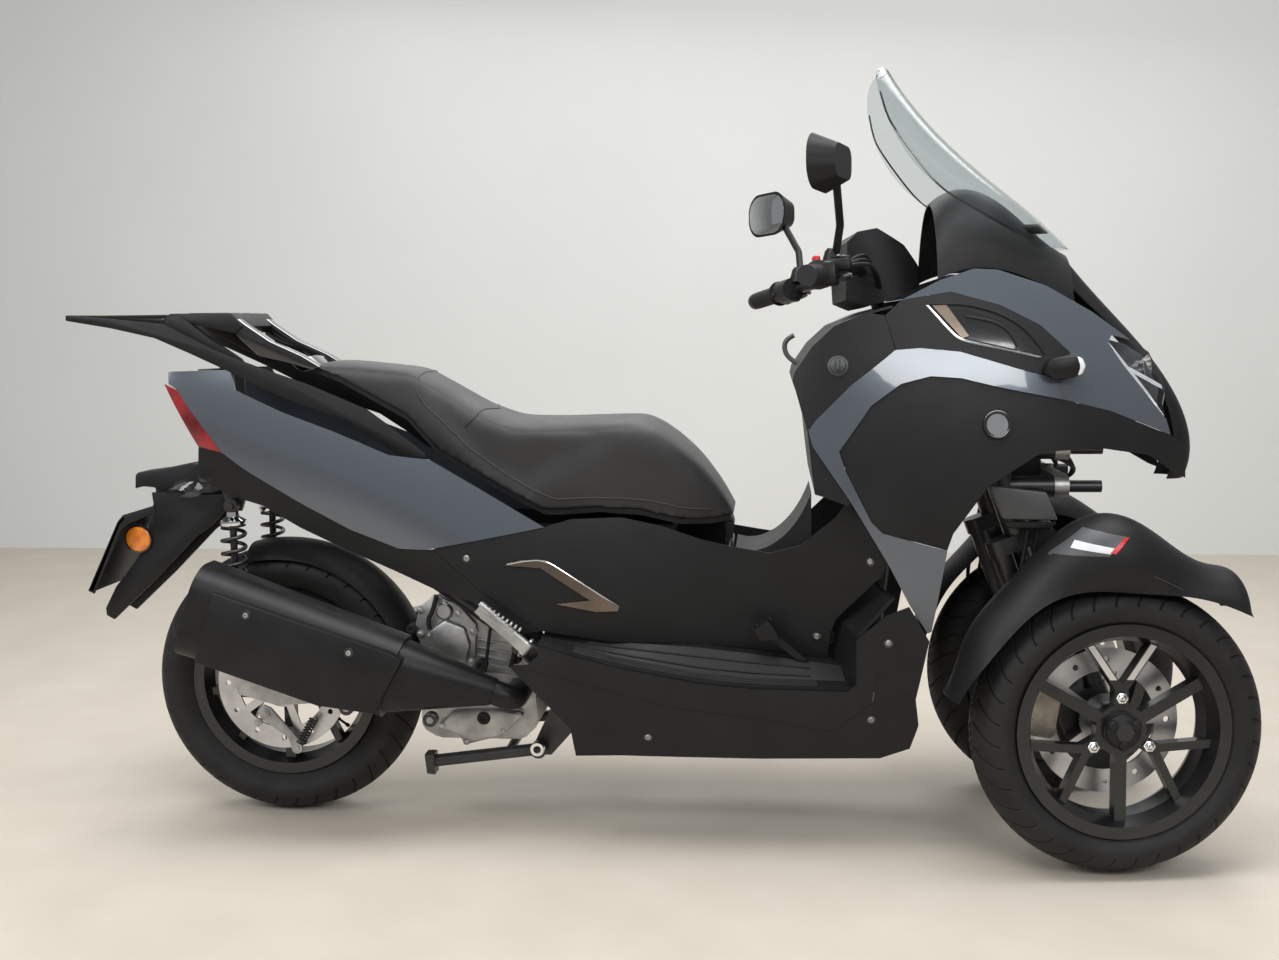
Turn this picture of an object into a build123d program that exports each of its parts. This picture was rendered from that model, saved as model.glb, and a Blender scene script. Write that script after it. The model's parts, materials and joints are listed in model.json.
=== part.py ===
"""A leaning three-wheeled scooter: two steered front wheels, one driven rear wheel.

Millimetres. X points forward, Y to the rider's left and Z up. The origin is on the ground,
halfway along the vehicle. Every x in the tables below is measured from the rear axle, and
every y is a half width that the mirror operation repeats on the other side.
"""

import os
from math import atan2, cos, degrees, radians, sin, tan

from build123d import *

os.makedirs("parts", exist_ok=True)

# ---- driving dimensions -------------------------------------------------------------------
rear_axle_x = -725.0
wheelbase = 1590.0
front_track = 470.0

front_tyre_radius = 261.8
front_tyre_width = 120.0
rear_tyre_radius = 275.8
rear_tyre_width = 140.0
bead_radius = 178.0
flange_radius = 192.5
rim_wall = 7.0

rake = 20.0
front_trail = 68.0
kingpin_y = 147.0
steer_rest = 8.0

running_gap = 0.05
panel_gap = 0.6
seat_gap = 0.3
wall = 3.0

disc_radius = 133.5
disc_thickness = 4.5
front_axle_radius = 12.0
rear_axle_radius = 10.0

frame_tube_radius = 16.0
handlebar_radius = 11.0


# ---- planes and shared shapes -------------------------------------------------------------
def side_plane(y=0.0):
    """Upright, along the vehicle: sketch x is forward from the rear axle, sketch y is up."""
    return Plane(origin=(rear_axle_x, y, 0), x_dir=(1, 0, 0), z_dir=(0, -1, 0))


def section_plane(x):
    """Upright, across the vehicle: sketch x is to the left, sketch y is up."""
    return Plane(origin=(rear_axle_x + x, 0, 0), x_dir=(0, 1, 0), z_dir=(1, 0, 0))


def plan_plane(z):
    """Level: sketch x is forward from the rear axle, sketch y is to the left."""
    return Plane(origin=(rear_axle_x, 0, z), x_dir=(1, 0, 0), z_dir=(0, 0, 1))


def axle_plane(x, z, angle=0.0):
    """Holds the axle line at (x, z): sketch x is to the left, sketch y is the radius."""
    out = Vector(cos(radians(angle)), 0, sin(radians(angle)))
    return Plane(
        origin=(rear_axle_x + x, 0, z),
        x_dir=(0, 1, 0),
        z_dir=Vector(0, 1, 0).cross(out),
    )


def outline(points):
    """A closed flat outline in the side plane, standing on the vehicle's middle."""
    with BuildSketch(side_plane()) as shape:
        with BuildLine():
            Polyline(*points, close=True)
        make_face()
    return shape.sketch


def widened(points, gap):
    """The same outline grown by a gap, for cutting the neighbour that it meets."""
    with BuildSketch(side_plane()) as shape:
        with BuildLine():
            Polyline(*points, close=True)
        make_face()
        offset(amount=gap, kind=Kind.INTERSECTION)
    return shape.sketch


def skin_section(plane, low, middle, top, inward=wall, proud=0.0):
    """A bowed strip through three points, each (y, z), with its wall on the inner side."""
    outer = [(y + proud, z) for y, z in (low, middle, top)]
    inner = [(y - inward, z) for y, z in (low, middle, top)]
    with BuildSketch(plane) as shape:
        with BuildLine():
            ThreePointArc(*outer)
            Line(outer[2], inner[2])
            ThreePointArc(*inner[::-1])
            Line(inner[0], outer[0])
        make_face()
    return shape.sketch


def skin_sections(stations, inward=wall, proud=0.0):
    return [
        skin_section(section_plane(x), low, middle, top, inward, proud)
        for x, low, middle, top in stations
    ]


def tube(points, radius, bends):
    """A round bar along straight runs joined by arcs, one bend radius for each corner."""
    with BuildPart() as bar:
        with BuildLine() as path:
            FilletPolyline(*points, radius=bends)
        with BuildSketch(Plane(origin=path.line @ 0, z_dir=path.line % 0)):
            Circle(radius)
        sweep()
    return bar.part


def at(x, y, z):
    return (rear_axle_x + x, y, z)


half_limit = 420.0

# ---- steering geometry ----------------------------------------------------------------------
lean_back = Vector(-sin(radians(rake)), 0, cos(radians(rake)))
lean_front = Vector(cos(radians(rake)), 0, sin(radians(rake)))
axle_lead = front_tyre_radius * sin(radians(rake)) - front_trail * cos(radians(rake))
front_y = front_track / 2


def kingpin_plane(side, w=0.0):
    """Square to a kingpin. Sketch x is forward, sketch y is left, w is along the kingpin."""
    foot = Vector(rear_axle_x + wheelbase, side * kingpin_y, front_tyre_radius)
    return Plane(
        origin=foot - lean_front * axle_lead + lean_back * w, x_dir=lean_front, z_dir=lean_back
    )


def kingpin(side):
    return Axis(kingpin_plane(side).origin, lean_back)


column_x = 1185.0
column_z = 1040.0


def column_plane(w=0.0):
    """Square to the steering column, w along it from the level of column_z."""
    return Plane(
        origin=Vector(rear_axle_x + column_x, 0, column_z) + lean_back * w,
        x_dir=lean_front,
        z_dir=lean_back,
    )


column = Axis(column_plane().origin, lean_back)


def write(part, name):
    part.label = name
    export_step(part, f"parts/{name}.step")


def write_steered(part, name, axis):
    """Turns a piece from straight ahead to where the steering rests, then writes it."""
    write(part.rotate(axis, steer_rest), name)


# ---- wheels ---------------------------------------------------------------------------------
rim_half = 44.5


def make_tyre(x, y, radius, width):
    half = width / 2
    shoulder = 0.80 * half
    with BuildPart() as tyre:
        with BuildSketch(axle_plane(x, radius)):
            with BuildLine():
                Polyline(
                    (y - rim_half, flange_radius),
                    (y - rim_half, bead_radius),
                    (y + rim_half, bead_radius),
                    (y + rim_half, flange_radius),
                )
                ThreePointArc(
                    (y + rim_half, flange_radius),
                    (y + half, bead_radius + 0.50 * (radius - bead_radius)),
                    (y + shoulder, radius - 0.28 * half),
                )
                ThreePointArc(
                    (y + shoulder, radius - 0.28 * half),
                    (y, radius),
                    (y - shoulder, radius - 0.28 * half),
                )
                ThreePointArc(
                    (y - shoulder, radius - 0.28 * half),
                    (y - half, bead_radius + 0.50 * (radius - bead_radius)),
                    (y - rim_half, flange_radius),
                )
            make_face()
        revolve(axis=Axis(at(x, 0, radius), (0, 1, 0)))
    return tyre.part


hub_radius = 34.0
spoke_depth = 24.0
spoke_width = 15.0
fork_root = 72.0
spoke_end = 166.0


def make_rim(x, y, z, outer_side, bore, hub_low, hub_high):
    """Barrel, hub, three straight spokes and three forked ones, flush with the outer side."""
    with BuildPart() as rim:
        with BuildSketch(axle_plane(x, z)):
            with BuildLine():
                Polyline(
                    (y - rim_half - rim_wall, flange_radius),
                    (y - rim_half, flange_radius),
                    (y - rim_half, bead_radius),
                    (y + rim_half, bead_radius),
                    (y + rim_half, flange_radius),
                    (y + rim_half + rim_wall, flange_radius),
                    (y + rim_half + rim_wall, bead_radius - rim_wall),
                    (y + 0.5 * rim_half, spoke_end - rim_wall),
                    (y - 0.5 * rim_half, spoke_end - rim_wall),
                    (y - rim_half - rim_wall, bead_radius - rim_wall),
                    close=True,
                )
            make_face()
        revolve(axis=Axis(at(x, 0, z), (0, 1, 0)))
        face_y = y + outer_side * (0.5 * rim_half + spoke_depth / 2)
        with BuildSketch(side_plane(face_y)):
            with Locations((x, z)):
                Circle(hub_radius + 12)
                for turn in (30, 150, 270):
                    with Locations(Rotation(0, 0, turn)):
                        with Locations((spoke_end / 2, 0)):
                            Rectangle(spoke_end, spoke_width + 6)
                for turn in (90, 210, 330):
                    with Locations(Rotation(0, 0, turn)):
                        with Locations((fork_root / 2, 0)):
                            Rectangle(fork_root + 8, spoke_width + 10)
                        for lean in (-1, 1):
                            reach = spoke_end - fork_root + 14
                            with Locations(Pos(fork_root - 4, 0) * Rotation(0, 0, lean * 34)):
                                with Locations((reach / 2, 0)):
                                    Rectangle(reach, spoke_width)
        extrude(amount=outer_side * spoke_depth)
        with BuildSketch(side_plane(hub_low)):
            with Locations((x, z)):
                Circle(hub_radius)
        extrude(amount=hub_low - hub_high)
        with BuildSketch(side_plane(half_limit)):
            with Locations((x, z)):
                Circle(bore + running_gap)
        extrude(amount=2 * half_limit, mode=Mode.SUBTRACT)
    return rim.part


disc_holes = 12
disc_inner = 92.0
disc_hub = 48.0


def make_disc(x, y, z, bore):
    """A drilled ring on five arms, bolted to the hub."""
    with BuildPart() as disc:
        with BuildSketch(side_plane(y + disc_thickness / 2)):
            with Locations((x, z)):
                Circle(disc_radius)
                Circle(disc_inner, mode=Mode.SUBTRACT)
                with PolarLocations((disc_radius + disc_inner) / 2, disc_holes):
                    Circle(5.5, mode=Mode.SUBTRACT)
                Circle(disc_hub)
                for step in range(5):
                    with Locations(Rotation(0, 0, 72 * step)):
                        with Locations(((disc_hub + disc_inner) / 2, 0)):
                            Rectangle(disc_inner - disc_hub + 10, 16)
                Circle(bore, mode=Mode.SUBTRACT)
        extrude(amount=disc_thickness)
    return disc.part


disc_inset = 44.0
hub_reach_out = 42.0
hub_reach_in = disc_inset - disc_thickness / 2

sides = ((-1, "right"), (1, "left"))

for side, name in sides:
    y = side * front_y
    axis = kingpin(side)
    write_steered(
        make_tyre(wheelbase, y, front_tyre_radius, front_tyre_width), f"front_tyre_{name}", axis
    )
    write_steered(
        make_rim(
            wheelbase,
            y,
            front_tyre_radius,
            side,
            front_axle_radius,
            y + side * hub_reach_out,
            y - side * hub_reach_in,
        ),
        f"front_rim_{name}",
        axis,
    )
    write_steered(
        make_disc(wheelbase, y - side * disc_inset, front_tyre_radius, front_axle_radius + 4),
        f"front_disc_{name}",
        axis,
    )

rear_disc_y = -66.0
rear_hub_left = 58.0
write(make_tyre(0, 0, rear_tyre_radius, rear_tyre_width), "rear_tyre")
write(
    make_rim(
        0,
        0,
        rear_tyre_radius,
        -1,
        rear_axle_radius,
        rear_disc_y + disc_thickness / 2,
        rear_hub_left,
    ),
    "rear_rim",
)
write(make_disc(0, rear_disc_y, rear_tyre_radius, rear_axle_radius + 4), "rear_disc")


# ---- forks ----------------------------------------------------------------------------------
fork_tube_radius = 19.0
fork_tube_offset = 40.0
fork_tube_low = 28.0
crown_low = 345.0
crown_height = 30.0
stem_radius = 12.0
pillar_low = crown_low + crown_height + seat_gap
pillar_length = 192.0
pillar_radius = 24.0
cap_height = 14.0
fork_half = 20.0
fender_inner_y = 172.0
caliper_tab = ((1466, 258), (1540, 262), (1528, 310), (1466, 304))
fender_tab = ((1448, 598), (1496, 614), (1524, 588), (1516, 562), (1466, 544))
caliper_low = 96.0
caliper_high = 146.0
caliper_angle = 170.0
caliper_gap = 1.5

for side, name in sides:
    axle_y = side * front_y
    fork_out = side * (kingpin_y + fork_half)
    with BuildPart() as fork:
        with BuildSketch(kingpin_plane(side, fork_tube_low)):
            with Locations((-fork_tube_offset, 0), (fork_tube_offset, 0)):
                Circle(fork_tube_radius)
        extrude(amount=crown_low + crown_height - fork_tube_low)
        with BuildSketch(kingpin_plane(side, crown_low)):
            SlotCenterToCenter(2 * fork_tube_offset, 2 * fork_half + 6)
        extrude(amount=crown_height)
        with BuildSketch(kingpin_plane(side, crown_low + crown_height)):
            Circle(stem_radius)
        extrude(amount=pillar_length + 2 * seat_gap)
        with BuildSketch(
            kingpin_plane(side, pillar_low + pillar_length + seat_gap)
        ):
            RegularPolygon(pillar_radius - 4, 6)
        extrude(amount=cap_height)
        with BuildSketch(kingpin_plane(side, -34)):
            SlotCenterToCenter(2 * fork_tube_offset, 2 * fork_half + 2)
        extrude(amount=34 + fork_tube_low + 30)
        for tab_face, tab in (
            (kingpin_y + fork_half, caliper_tab),
            (fender_inner_y - seat_gap, fender_tab),
        ):
            with BuildSketch(side_plane(side * tab_face)):
                with BuildLine():
                    Polyline(*tab, close=True)
                make_face()
            extrude(amount=side * (tab_face - kingpin_y - 6))
        with BuildSketch(side_plane(fork_out - side * 4)):
            with Locations((wheelbase, front_tyre_radius)):
                Circle(front_axle_radius)
        extrude(amount=-side * (abs(axle_y) + hub_reach_out + 6 - kingpin_y - fork_half + 4))
        with BuildSketch(side_plane(axle_y + side * (hub_reach_out + seat_gap))):
            with Locations((wheelbase, front_tyre_radius)):
                RegularPolygon(front_axle_radius + 5, 6)
        extrude(amount=-side * 12)
        with BuildSketch(side_plane(fork_out - side * 4)):
            with Locations((wheelbase, front_tyre_radius)):
                Circle(front_axle_radius + 7)
        extrude(
            amount=-side
            * (abs(axle_y) - disc_inset - disc_thickness / 2 - seat_gap - kingpin_y - fork_half + 4)
        )
    write_steered(fork.part, f"fork_{name}", kingpin(side))

    disc_face = abs(axle_y) - disc_inset
    caliper_in = kingpin_y + fork_half + seat_gap
    with BuildPart() as caliper:
        with BuildSketch(side_plane(side * caliper_in)):
            with Locations((wheelbase, front_tyre_radius)):
                with Locations(Rotation(0, 0, caliper_angle)):
                    with Locations(((caliper_low + caliper_high) / 2, 0)):
                        RectangleRounded(caliper_high - caliper_low, 92, 10)
        extrude(amount=-side * (disc_face + 22 - caliper_in))
        with BuildSketch(side_plane(side * (disc_face - disc_thickness / 2 - caliper_gap))):
            with Locations((wheelbase, front_tyre_radius)):
                Circle(disc_radius + 3)
        extrude(amount=-side * (disc_thickness + 2 * caliper_gap), mode=Mode.SUBTRACT)
    write_steered(caliper.part, f"caliper_{name}", kingpin(side))


# ---- front fenders --------------------------------------------------------------------------
fender_crown_y = 236.0
fender_outer_y = 303.0
# angle round the axle, radius of the inner edge, of the crown and of the outer edge
fender_stations = (
    (43, 300, 312, 300),
    (60, 298, 336, 272),
    (78, 312, 352, 252),
    (96, 332, 386, 254),
    (114, 312, 346, 270),
    (136, 296, 317, 274),
    (156, 292, 306, 286),
    (169, 300, 312, 306),
)

for side, name in sides:
    with BuildPart() as fender:
        sections = []
        for angle, inner_r, crown_r, outer_r in fender_stations:
            with BuildSketch(axle_plane(wheelbase, front_tyre_radius, angle)) as section:
                with BuildLine():
                    edge = (
                        (side * fender_inner_y, inner_r),
                        (side * fender_crown_y, crown_r),
                        (side * fender_outer_y, outer_r),
                    )
                    under = (
                        (side * (fender_inner_y + wall), inner_r),
                        (side * fender_crown_y, crown_r - wall),
                        (side * (fender_outer_y - wall), outer_r),
                    )
                    ThreePointArc(*edge)
                    Line(edge[2], under[2])
                    ThreePointArc(*under[::-1])
                    Line(under[0], edge[0])
                make_face()
            sections.append(section.sketch)
        loft(sections)
    write_steered(fender.part, f"front_fender_{name}", kingpin(side))


# ---- tilting linkage ------------------------------------------------------------------------
head_radius = 27.0
head_low = -300.0
head_high = -60.0
column_stem_radius = 13.0
rail = frame_tube_radius
shock_top_x = -72.0
shock_top_z = 645.0
shock_lug_y = 96.7
lower_pivot_z = 690.0
upper_pivot_z = 760.0
arm_x = 1500.0
arm_depth = 26.0
arm_height = 34.0
pivot_radius = 11.0
boss_radius = 20.0


def kingpin_x(z):
    """Where the kingpin line is, forward of the rear axle, at a height."""
    return wheelbase + front_trail - z * tan(radians(rake))


with BuildPart() as kingpin_pillars:
    for side, name in sides:
        with BuildSketch(kingpin_plane(side, pillar_low)):
            Circle(pillar_radius)
        extrude(amount=pillar_length)
        for pivot_z in (lower_pivot_z, upper_pivot_z):
            with BuildSketch(section_plane(kingpin_x(pivot_z))):
                with Locations((side * kingpin_y, pivot_z)):
                    Circle(boss_radius)
            extrude(amount=arm_x - seat_gap - kingpin_x(pivot_z))
            with BuildSketch(section_plane(arm_x - 2)):
                with Locations((side * kingpin_y, pivot_z)):
                    Circle(pivot_radius)
            extrude(amount=arm_depth + 62)
        with BuildSketch(kingpin_plane(side)):
            Circle(stem_radius + running_gap)
        extrude(amount=800, mode=Mode.SUBTRACT)
write(kingpin_pillars.part, "kingpin_pillars")

with BuildPart() as tilt_arms:
    for pivot_z in (lower_pivot_z, upper_pivot_z):
        with BuildSketch(section_plane(arm_x)):
            with Locations((0, pivot_z)):
                SlotCenterToCenter(2 * kingpin_y, arm_height + 8)
                Circle(arm_height / 2 + 10)
                with Locations((-kingpin_y / 2, 0), (kingpin_y / 2, 0)):
                    SlotOverall(kingpin_y - 80, arm_height - 18, mode=Mode.SUBTRACT)
                with Locations((-kingpin_y, 0), (0, 0), (kingpin_y, 0)):
                    Circle(pivot_radius + running_gap, mode=Mode.SUBTRACT)
        extrude(amount=arm_depth)
write(tilt_arms.part, "tilt_arms")


# ---- engine and rear suspension -------------------------------------------------------------
rear_axle_z = rear_tyre_radius
case_inner_y = 82.0
case_width = 84.0
arm_inner_y = 78.0
swing_arm_width = 24.0
shock_x = -72.0
shock_y = 108.0
shock_low_z = 338.0
shock_high_z = 645.0
eye_radius = 14.0
eye_width = 22.0
shock_pin_radius = 7.0
spring_radius = 27.0
coil_count = 7
lug_width = 6.0
lug_outer_y = shock_y - eye_width / 2 - seat_gap
engine_rear_x = 296.0 - seat_gap
engine_right = 102.0

with BuildPart() as engine_block:
    with BuildSketch(side_plane(case_inner_y - 2)):
        with BuildLine():
            Polyline(
                (296, 200),
                (330, 180),
                (500, 180),
                (530, 210),
                (520, 330),
                (470, 470),
                (330, 470),
                (296, 400),
                close=True,
            )
        make_face()
    extrude(amount=case_inner_y - 2 + engine_right)
    chamfer(engine_block.edges().filter_by(Axis.Y), 8)
write(engine_block.part, "engine_block")

shock_foot = (
    (shock_x - 18, rear_axle_z),
    (shock_x + 40, rear_axle_z),
    (shock_x + 16, shock_low_z + 12),
    (shock_x - 16, shock_low_z + 12),
)

with BuildPart() as drive_case:
    with BuildSketch(side_plane(case_inner_y)):
        with BuildLine():
            Polyline(
                (296, 408),
                (60, 352),
                (-40, 318),
                (-100, 300),
                (-70, 210),
                (20, 190),
                (296, 196),
                close=True,
            )
        make_face()
    extrude(amount=-case_width)
    with BuildSketch(side_plane(case_inner_y)):
        with BuildLine():
            Polyline((296, 408), (296, 196), (430, 215), (470, 300), (430, 395), close=True)
        make_face()
    extrude(amount=-case_width)
    chamfer(drive_case.faces().sort_by(Axis.Y)[-1].edges(), 9)
    with BuildSketch(side_plane(lug_outer_y)):
        with BuildLine():
            Polyline(*shock_foot, close=True)
        make_face()
    extrude(amount=lug_outer_y - case_inner_y)
    with BuildSketch(side_plane(lug_outer_y)):
        with Locations((shock_x, shock_low_z)):
            Circle(shock_pin_radius)
    extrude(amount=-eye_width - 6)
write(drive_case.part, "drive_case")

with BuildPart() as swing_arm:
    with BuildSketch(side_plane(-arm_inner_y)):
        with BuildLine():
            Polyline(
                (engine_rear_x, 345),
                (40, 318),
                (-30, 318),
                (shock_x - 18, 300),
                (shock_x - 8, 262),
                (0, 240),
                (engine_rear_x, 262),
                close=True,
            )
        make_face()
        with Locations((160, 292)):
            SlotOverall(170, 26, mode=Mode.SUBTRACT)
    extrude(amount=swing_arm_width)
    with BuildSketch(side_plane(-lug_outer_y)):
        with BuildLine():
            Polyline(*shock_foot, close=True)
        make_face()
    extrude(amount=-(lug_outer_y - arm_inner_y))
    with BuildSketch(side_plane(-lug_outer_y)):
        with Locations((shock_x, shock_low_z)):
            Circle(shock_pin_radius)
    extrude(amount=eye_width + 6)
    with BuildSketch(side_plane(case_inner_y)):
        with Locations((0, rear_axle_z)):
            Circle(rear_axle_radius)
    extrude(amount=case_inner_y + arm_inner_y + swing_arm_width + 14)
    with BuildSketch(side_plane(case_inner_y)):
        with Locations((0, rear_axle_z)):
            Circle(rear_axle_radius + 8)
    extrude(amount=case_inner_y - rear_hub_left - seat_gap)
    with BuildSketch(side_plane(rear_disc_y - disc_thickness / 2 - seat_gap)):
        with Locations((0, rear_axle_z)):
            Circle(rear_axle_radius + 8)
    extrude(amount=arm_inner_y + rear_disc_y - disc_thickness / 2)
write(swing_arm.part, "swing_arm")

coil_pitch = 24.0
spring_low_z = 400.0
with BuildPart() as rear_shocks:
    with BuildSketch(Plane(origin=at(shock_x, shock_y, 0), x_dir=(1, 0, 0), z_dir=(0, -1, 0))):
        with BuildLine():
            Polyline(
                (0, shock_low_z + 10),
                (9, shock_low_z + 10),
                (9, spring_low_z - 14),
                (spring_radius, spring_low_z - 14),
                (spring_radius, spring_low_z),
                (spring_radius - 8, spring_low_z),
            )
            for turn in range(coil_count):
                base = spring_low_z + turn * coil_pitch
                ThreePointArc(
                    (spring_radius - 8, base),
                    (spring_radius, base + 8),
                    (spring_radius - 8, base + 16),
                )
                Line((spring_radius - 8, base + 16), (spring_radius - 8, base + coil_pitch))
            top_z = spring_low_z + coil_count * coil_pitch
            Polyline(
                (spring_radius - 8, top_z),
                (spring_radius, top_z),
                (spring_radius, top_z + 14),
                (10, top_z + 30),
                (10, shock_high_z - 10),
                (0, shock_high_z - 10),
                (0, shock_low_z + 10),
            )
        make_face()
    revolve(axis=Axis(at(shock_x, shock_y, 0), (0, 0, 1)))
    with BuildSketch(side_plane(shock_y + eye_width / 2)):
        with Locations((shock_x, shock_low_z), (shock_x, shock_high_z)):
            Circle(eye_radius)
    extrude(amount=eye_width)
    with BuildSketch(side_plane(shock_y + eye_width)):
        with Locations((shock_x, shock_low_z), (shock_x, shock_high_z)):
            Circle(shock_pin_radius + running_gap)
    extrude(amount=2 * eye_width, mode=Mode.SUBTRACT)
    mirror(about=Plane.XZ)
write(rear_shocks.part, "rear_shocks")


# ---- exhaust --------------------------------------------------------------------------------
muffler_y = -206.0
muffler_width = 132.0
muffler_rear = (-112, 462)
muffler_front = (276, 332)
muffler_rear_height = 184.0
muffler_front_height = 158.0
pipe_radius = 24.0
pipe_start = (458, -180, 296)


def muffler_plane(x, z, y=muffler_y):
    run = Vector(muffler_front[0] - muffler_rear[0], 0, muffler_front[1] - muffler_rear[1])
    return Plane(origin=at(x, y, z), x_dir=(0, 1, 0), z_dir=run)


with BuildPart() as muffler:
    with BuildSketch(muffler_plane(*muffler_rear)):
        RectangleRounded(muffler_width, muffler_rear_height, 50)
    with BuildSketch(muffler_plane(*muffler_front)):
        RectangleRounded(muffler_width - 8, muffler_front_height, 50)
    loft()
    with BuildSketch(muffler_plane(*muffler_front)):
        RectangleRounded(muffler_width - 20, muffler_front_height - 14, 50)
    with BuildSketch(muffler_plane(pipe_start[0], pipe_start[2], pipe_start[1])):
        RectangleRounded(2 * pipe_radius + 4, 2 * pipe_radius + 4, 24)
    loft()
    with BuildSketch(muffler_plane(*muffler_rear)):
        Circle(24)
    extrude(amount=90, mode=Mode.SUBTRACT)
    add(
        tube(
            (
                at(pipe_start[0] - 8, pipe_start[1], pipe_start[2] + 3),
                at(pipe_start[0] + 38, pipe_start[1], pipe_start[2] - 14),
                at(pipe_start[0] + 38, -engine_right - seat_gap, pipe_start[2] - 14),
            ),
            pipe_radius,
            (28,),
        )
    )
write(muffler.part, "muffler")


# ---- stands and pegs ------------------------------------------------------------------------
stand_x = 533.0
stand_z = 166.0
stand_leg_y = 118.0
stand_radius = 12.0
stand_length = 214.0
side_stand_x = 640.0

with BuildPart() as stand_bracket:
    for side, name in sides:
        with BuildSketch(side_plane(side * (stand_leg_y - stand_radius - 12))):
            with BuildLine():
                Polyline(
                    (stand_x - 22, stand_z - 16),
                    (stand_x + 22, stand_z - 16),
                    (stand_x + 100, 238),
                    (stand_x + 64, 292),
                    (stand_x + 30, 262),
                    close=True,
                )
            make_face()
        extrude(amount=-side * 10)
    with BuildSketch(side_plane(stand_leg_y + stand_radius + 8)):
        with Locations((stand_x, stand_z)):
            Circle(8)
    extrude(amount=2 * (stand_leg_y + stand_radius + 8))

with BuildPart() as centre_stand:
    for side, name in sides:
        with BuildSketch(Plane(
            origin=at(stand_x, side * stand_leg_y, stand_z),
            x_dir=(0, 1, 0),
            z_dir=(-stand_length, side * 22, -22),
        )):
            Circle(stand_radius)
        extrude(amount=stand_length)
        with BuildSketch(side_plane(side * stand_leg_y + stand_radius)):
            with Locations((stand_x, stand_z)):
                Circle(stand_radius + 4)
        extrude(amount=2 * stand_radius)
        with BuildSketch(side_plane(side * (stand_leg_y + 22) + 16)):
            with BuildLine():
                Polyline(
                    (stand_x - stand_length - 6, stand_z - 4),
                    (stand_x - stand_length + 12, stand_z - 4),
                    (stand_x - stand_length + 14, stand_z - 44),
                    (stand_x - stand_length - 2, stand_z - 42),
                    close=True,
                )
            make_face()
        extrude(amount=32)
    with BuildSketch(side_plane(stand_leg_y)):
        with Locations((stand_x - 60, stand_z - 6)):
            Circle(9)
    extrude(amount=2 * stand_leg_y)
    with BuildSketch(side_plane(half_limit)):
        with Locations((stand_x, stand_z)):
            Circle(8 + running_gap)
    extrude(amount=2 * half_limit, mode=Mode.SUBTRACT)
write(centre_stand.part, "centre_stand")

side_stand_y = 150.0
with BuildPart() as side_stand:
    with BuildSketch(side_plane(side_stand_y + 10)):
        with Locations((side_stand_x, stand_z + 34)):
            Circle(20)
    extrude(amount=20)
    with BuildSketch(Plane(
        origin=at(side_stand_x, side_stand_y, stand_z + 34),
        x_dir=(0, 1, 0),
        z_dir=(-1, 0.12, -0.10),
    )):
        Circle(10)
    extrude(amount=216)
    with BuildSketch(Plane(
        origin=at(side_stand_x - 222, side_stand_y + 27, stand_z + 8),
        x_dir=(0, 1, 0),
        z_dir=(0, 0, 1),
    )):
        SlotOverall(56, 34)
    extrude(amount=8)
    with BuildSketch(side_plane(half_limit)):
        with Locations((side_stand_x, stand_z + 34)):
            Circle(8 + running_gap)
    extrude(amount=half_limit, mode=Mode.SUBTRACT)
write(side_stand.part, "side_stand")

peg_y = 222.0
peg_hinge = (530, 392)
peg_tip = (442, 470)
peg_width = 26.0
peg_thickness = 16.0
peg_pin_radius = 4.0
peg_run = Vector(peg_tip[0] - peg_hinge[0], 0, peg_tip[1] - peg_hinge[1])
peg_lean = -degrees(atan2(peg_run.Z, -peg_run.X))


def peg_plane(side, along=0.0):
    """Square to the folded peg. Sketch x is to the left."""
    return Plane(
        origin=Vector(*at(peg_hinge[0], side * peg_y, peg_hinge[1])) + peg_run.normalized() * along,
        x_dir=(0, 1, 0),
        z_dir=peg_run,
    )


def peg_pin_plane(side, along):
    """Square to the peg's pin, at a distance along the pin."""
    pin_run = Vector(0, 1, 0).cross(peg_run).normalized()
    origin = Vector(*at(peg_hinge[0], side * peg_y, peg_hinge[1]))
    return Plane(origin=origin + pin_run * along, x_dir=(0, 1, 0), z_dir=pin_run)


for side, name in sides:
    with BuildPart() as peg:
        with BuildSketch(peg_plane(side)):
            RectangleRounded(peg_thickness, peg_width, 5)
        extrude(amount=peg_run.length)
        with BuildSketch(peg_pin_plane(side, -peg_width / 2)):
            Circle(peg_thickness / 2)
        extrude(amount=peg_width)
        with BuildSketch(peg_pin_plane(side, -peg_width)):
            Circle(peg_pin_radius + running_gap)
        extrude(amount=2 * peg_width, mode=Mode.SUBTRACT)
    write(peg.part, f"peg_{name}")


# ---- storage tub and inner fender -----------------------------------------------------------
tub_wall = 3.0
tub_half = 112.0
tub_floor_z = 486.0
tub_rim_z = 612.0

with BuildPart() as underseat_tub:
    with BuildSketch(side_plane(tub_half)):
        with BuildLine():
            Polyline(
                (350, tub_rim_z),
                (350, 560),
                (384, tub_floor_z),
                (780, tub_floor_z),
                (800, tub_rim_z),
                close=True,
            )
        make_face()
    extrude(amount=2 * tub_half)
    fillet(underseat_tub.edges().filter_by(Axis.Y).sort_by(Axis.Z)[:2], 24)
    offset(amount=-tub_wall, openings=underseat_tub.faces().sort_by(Axis.Z)[-1])
write(underseat_tub.part, "underseat_tub")

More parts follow.
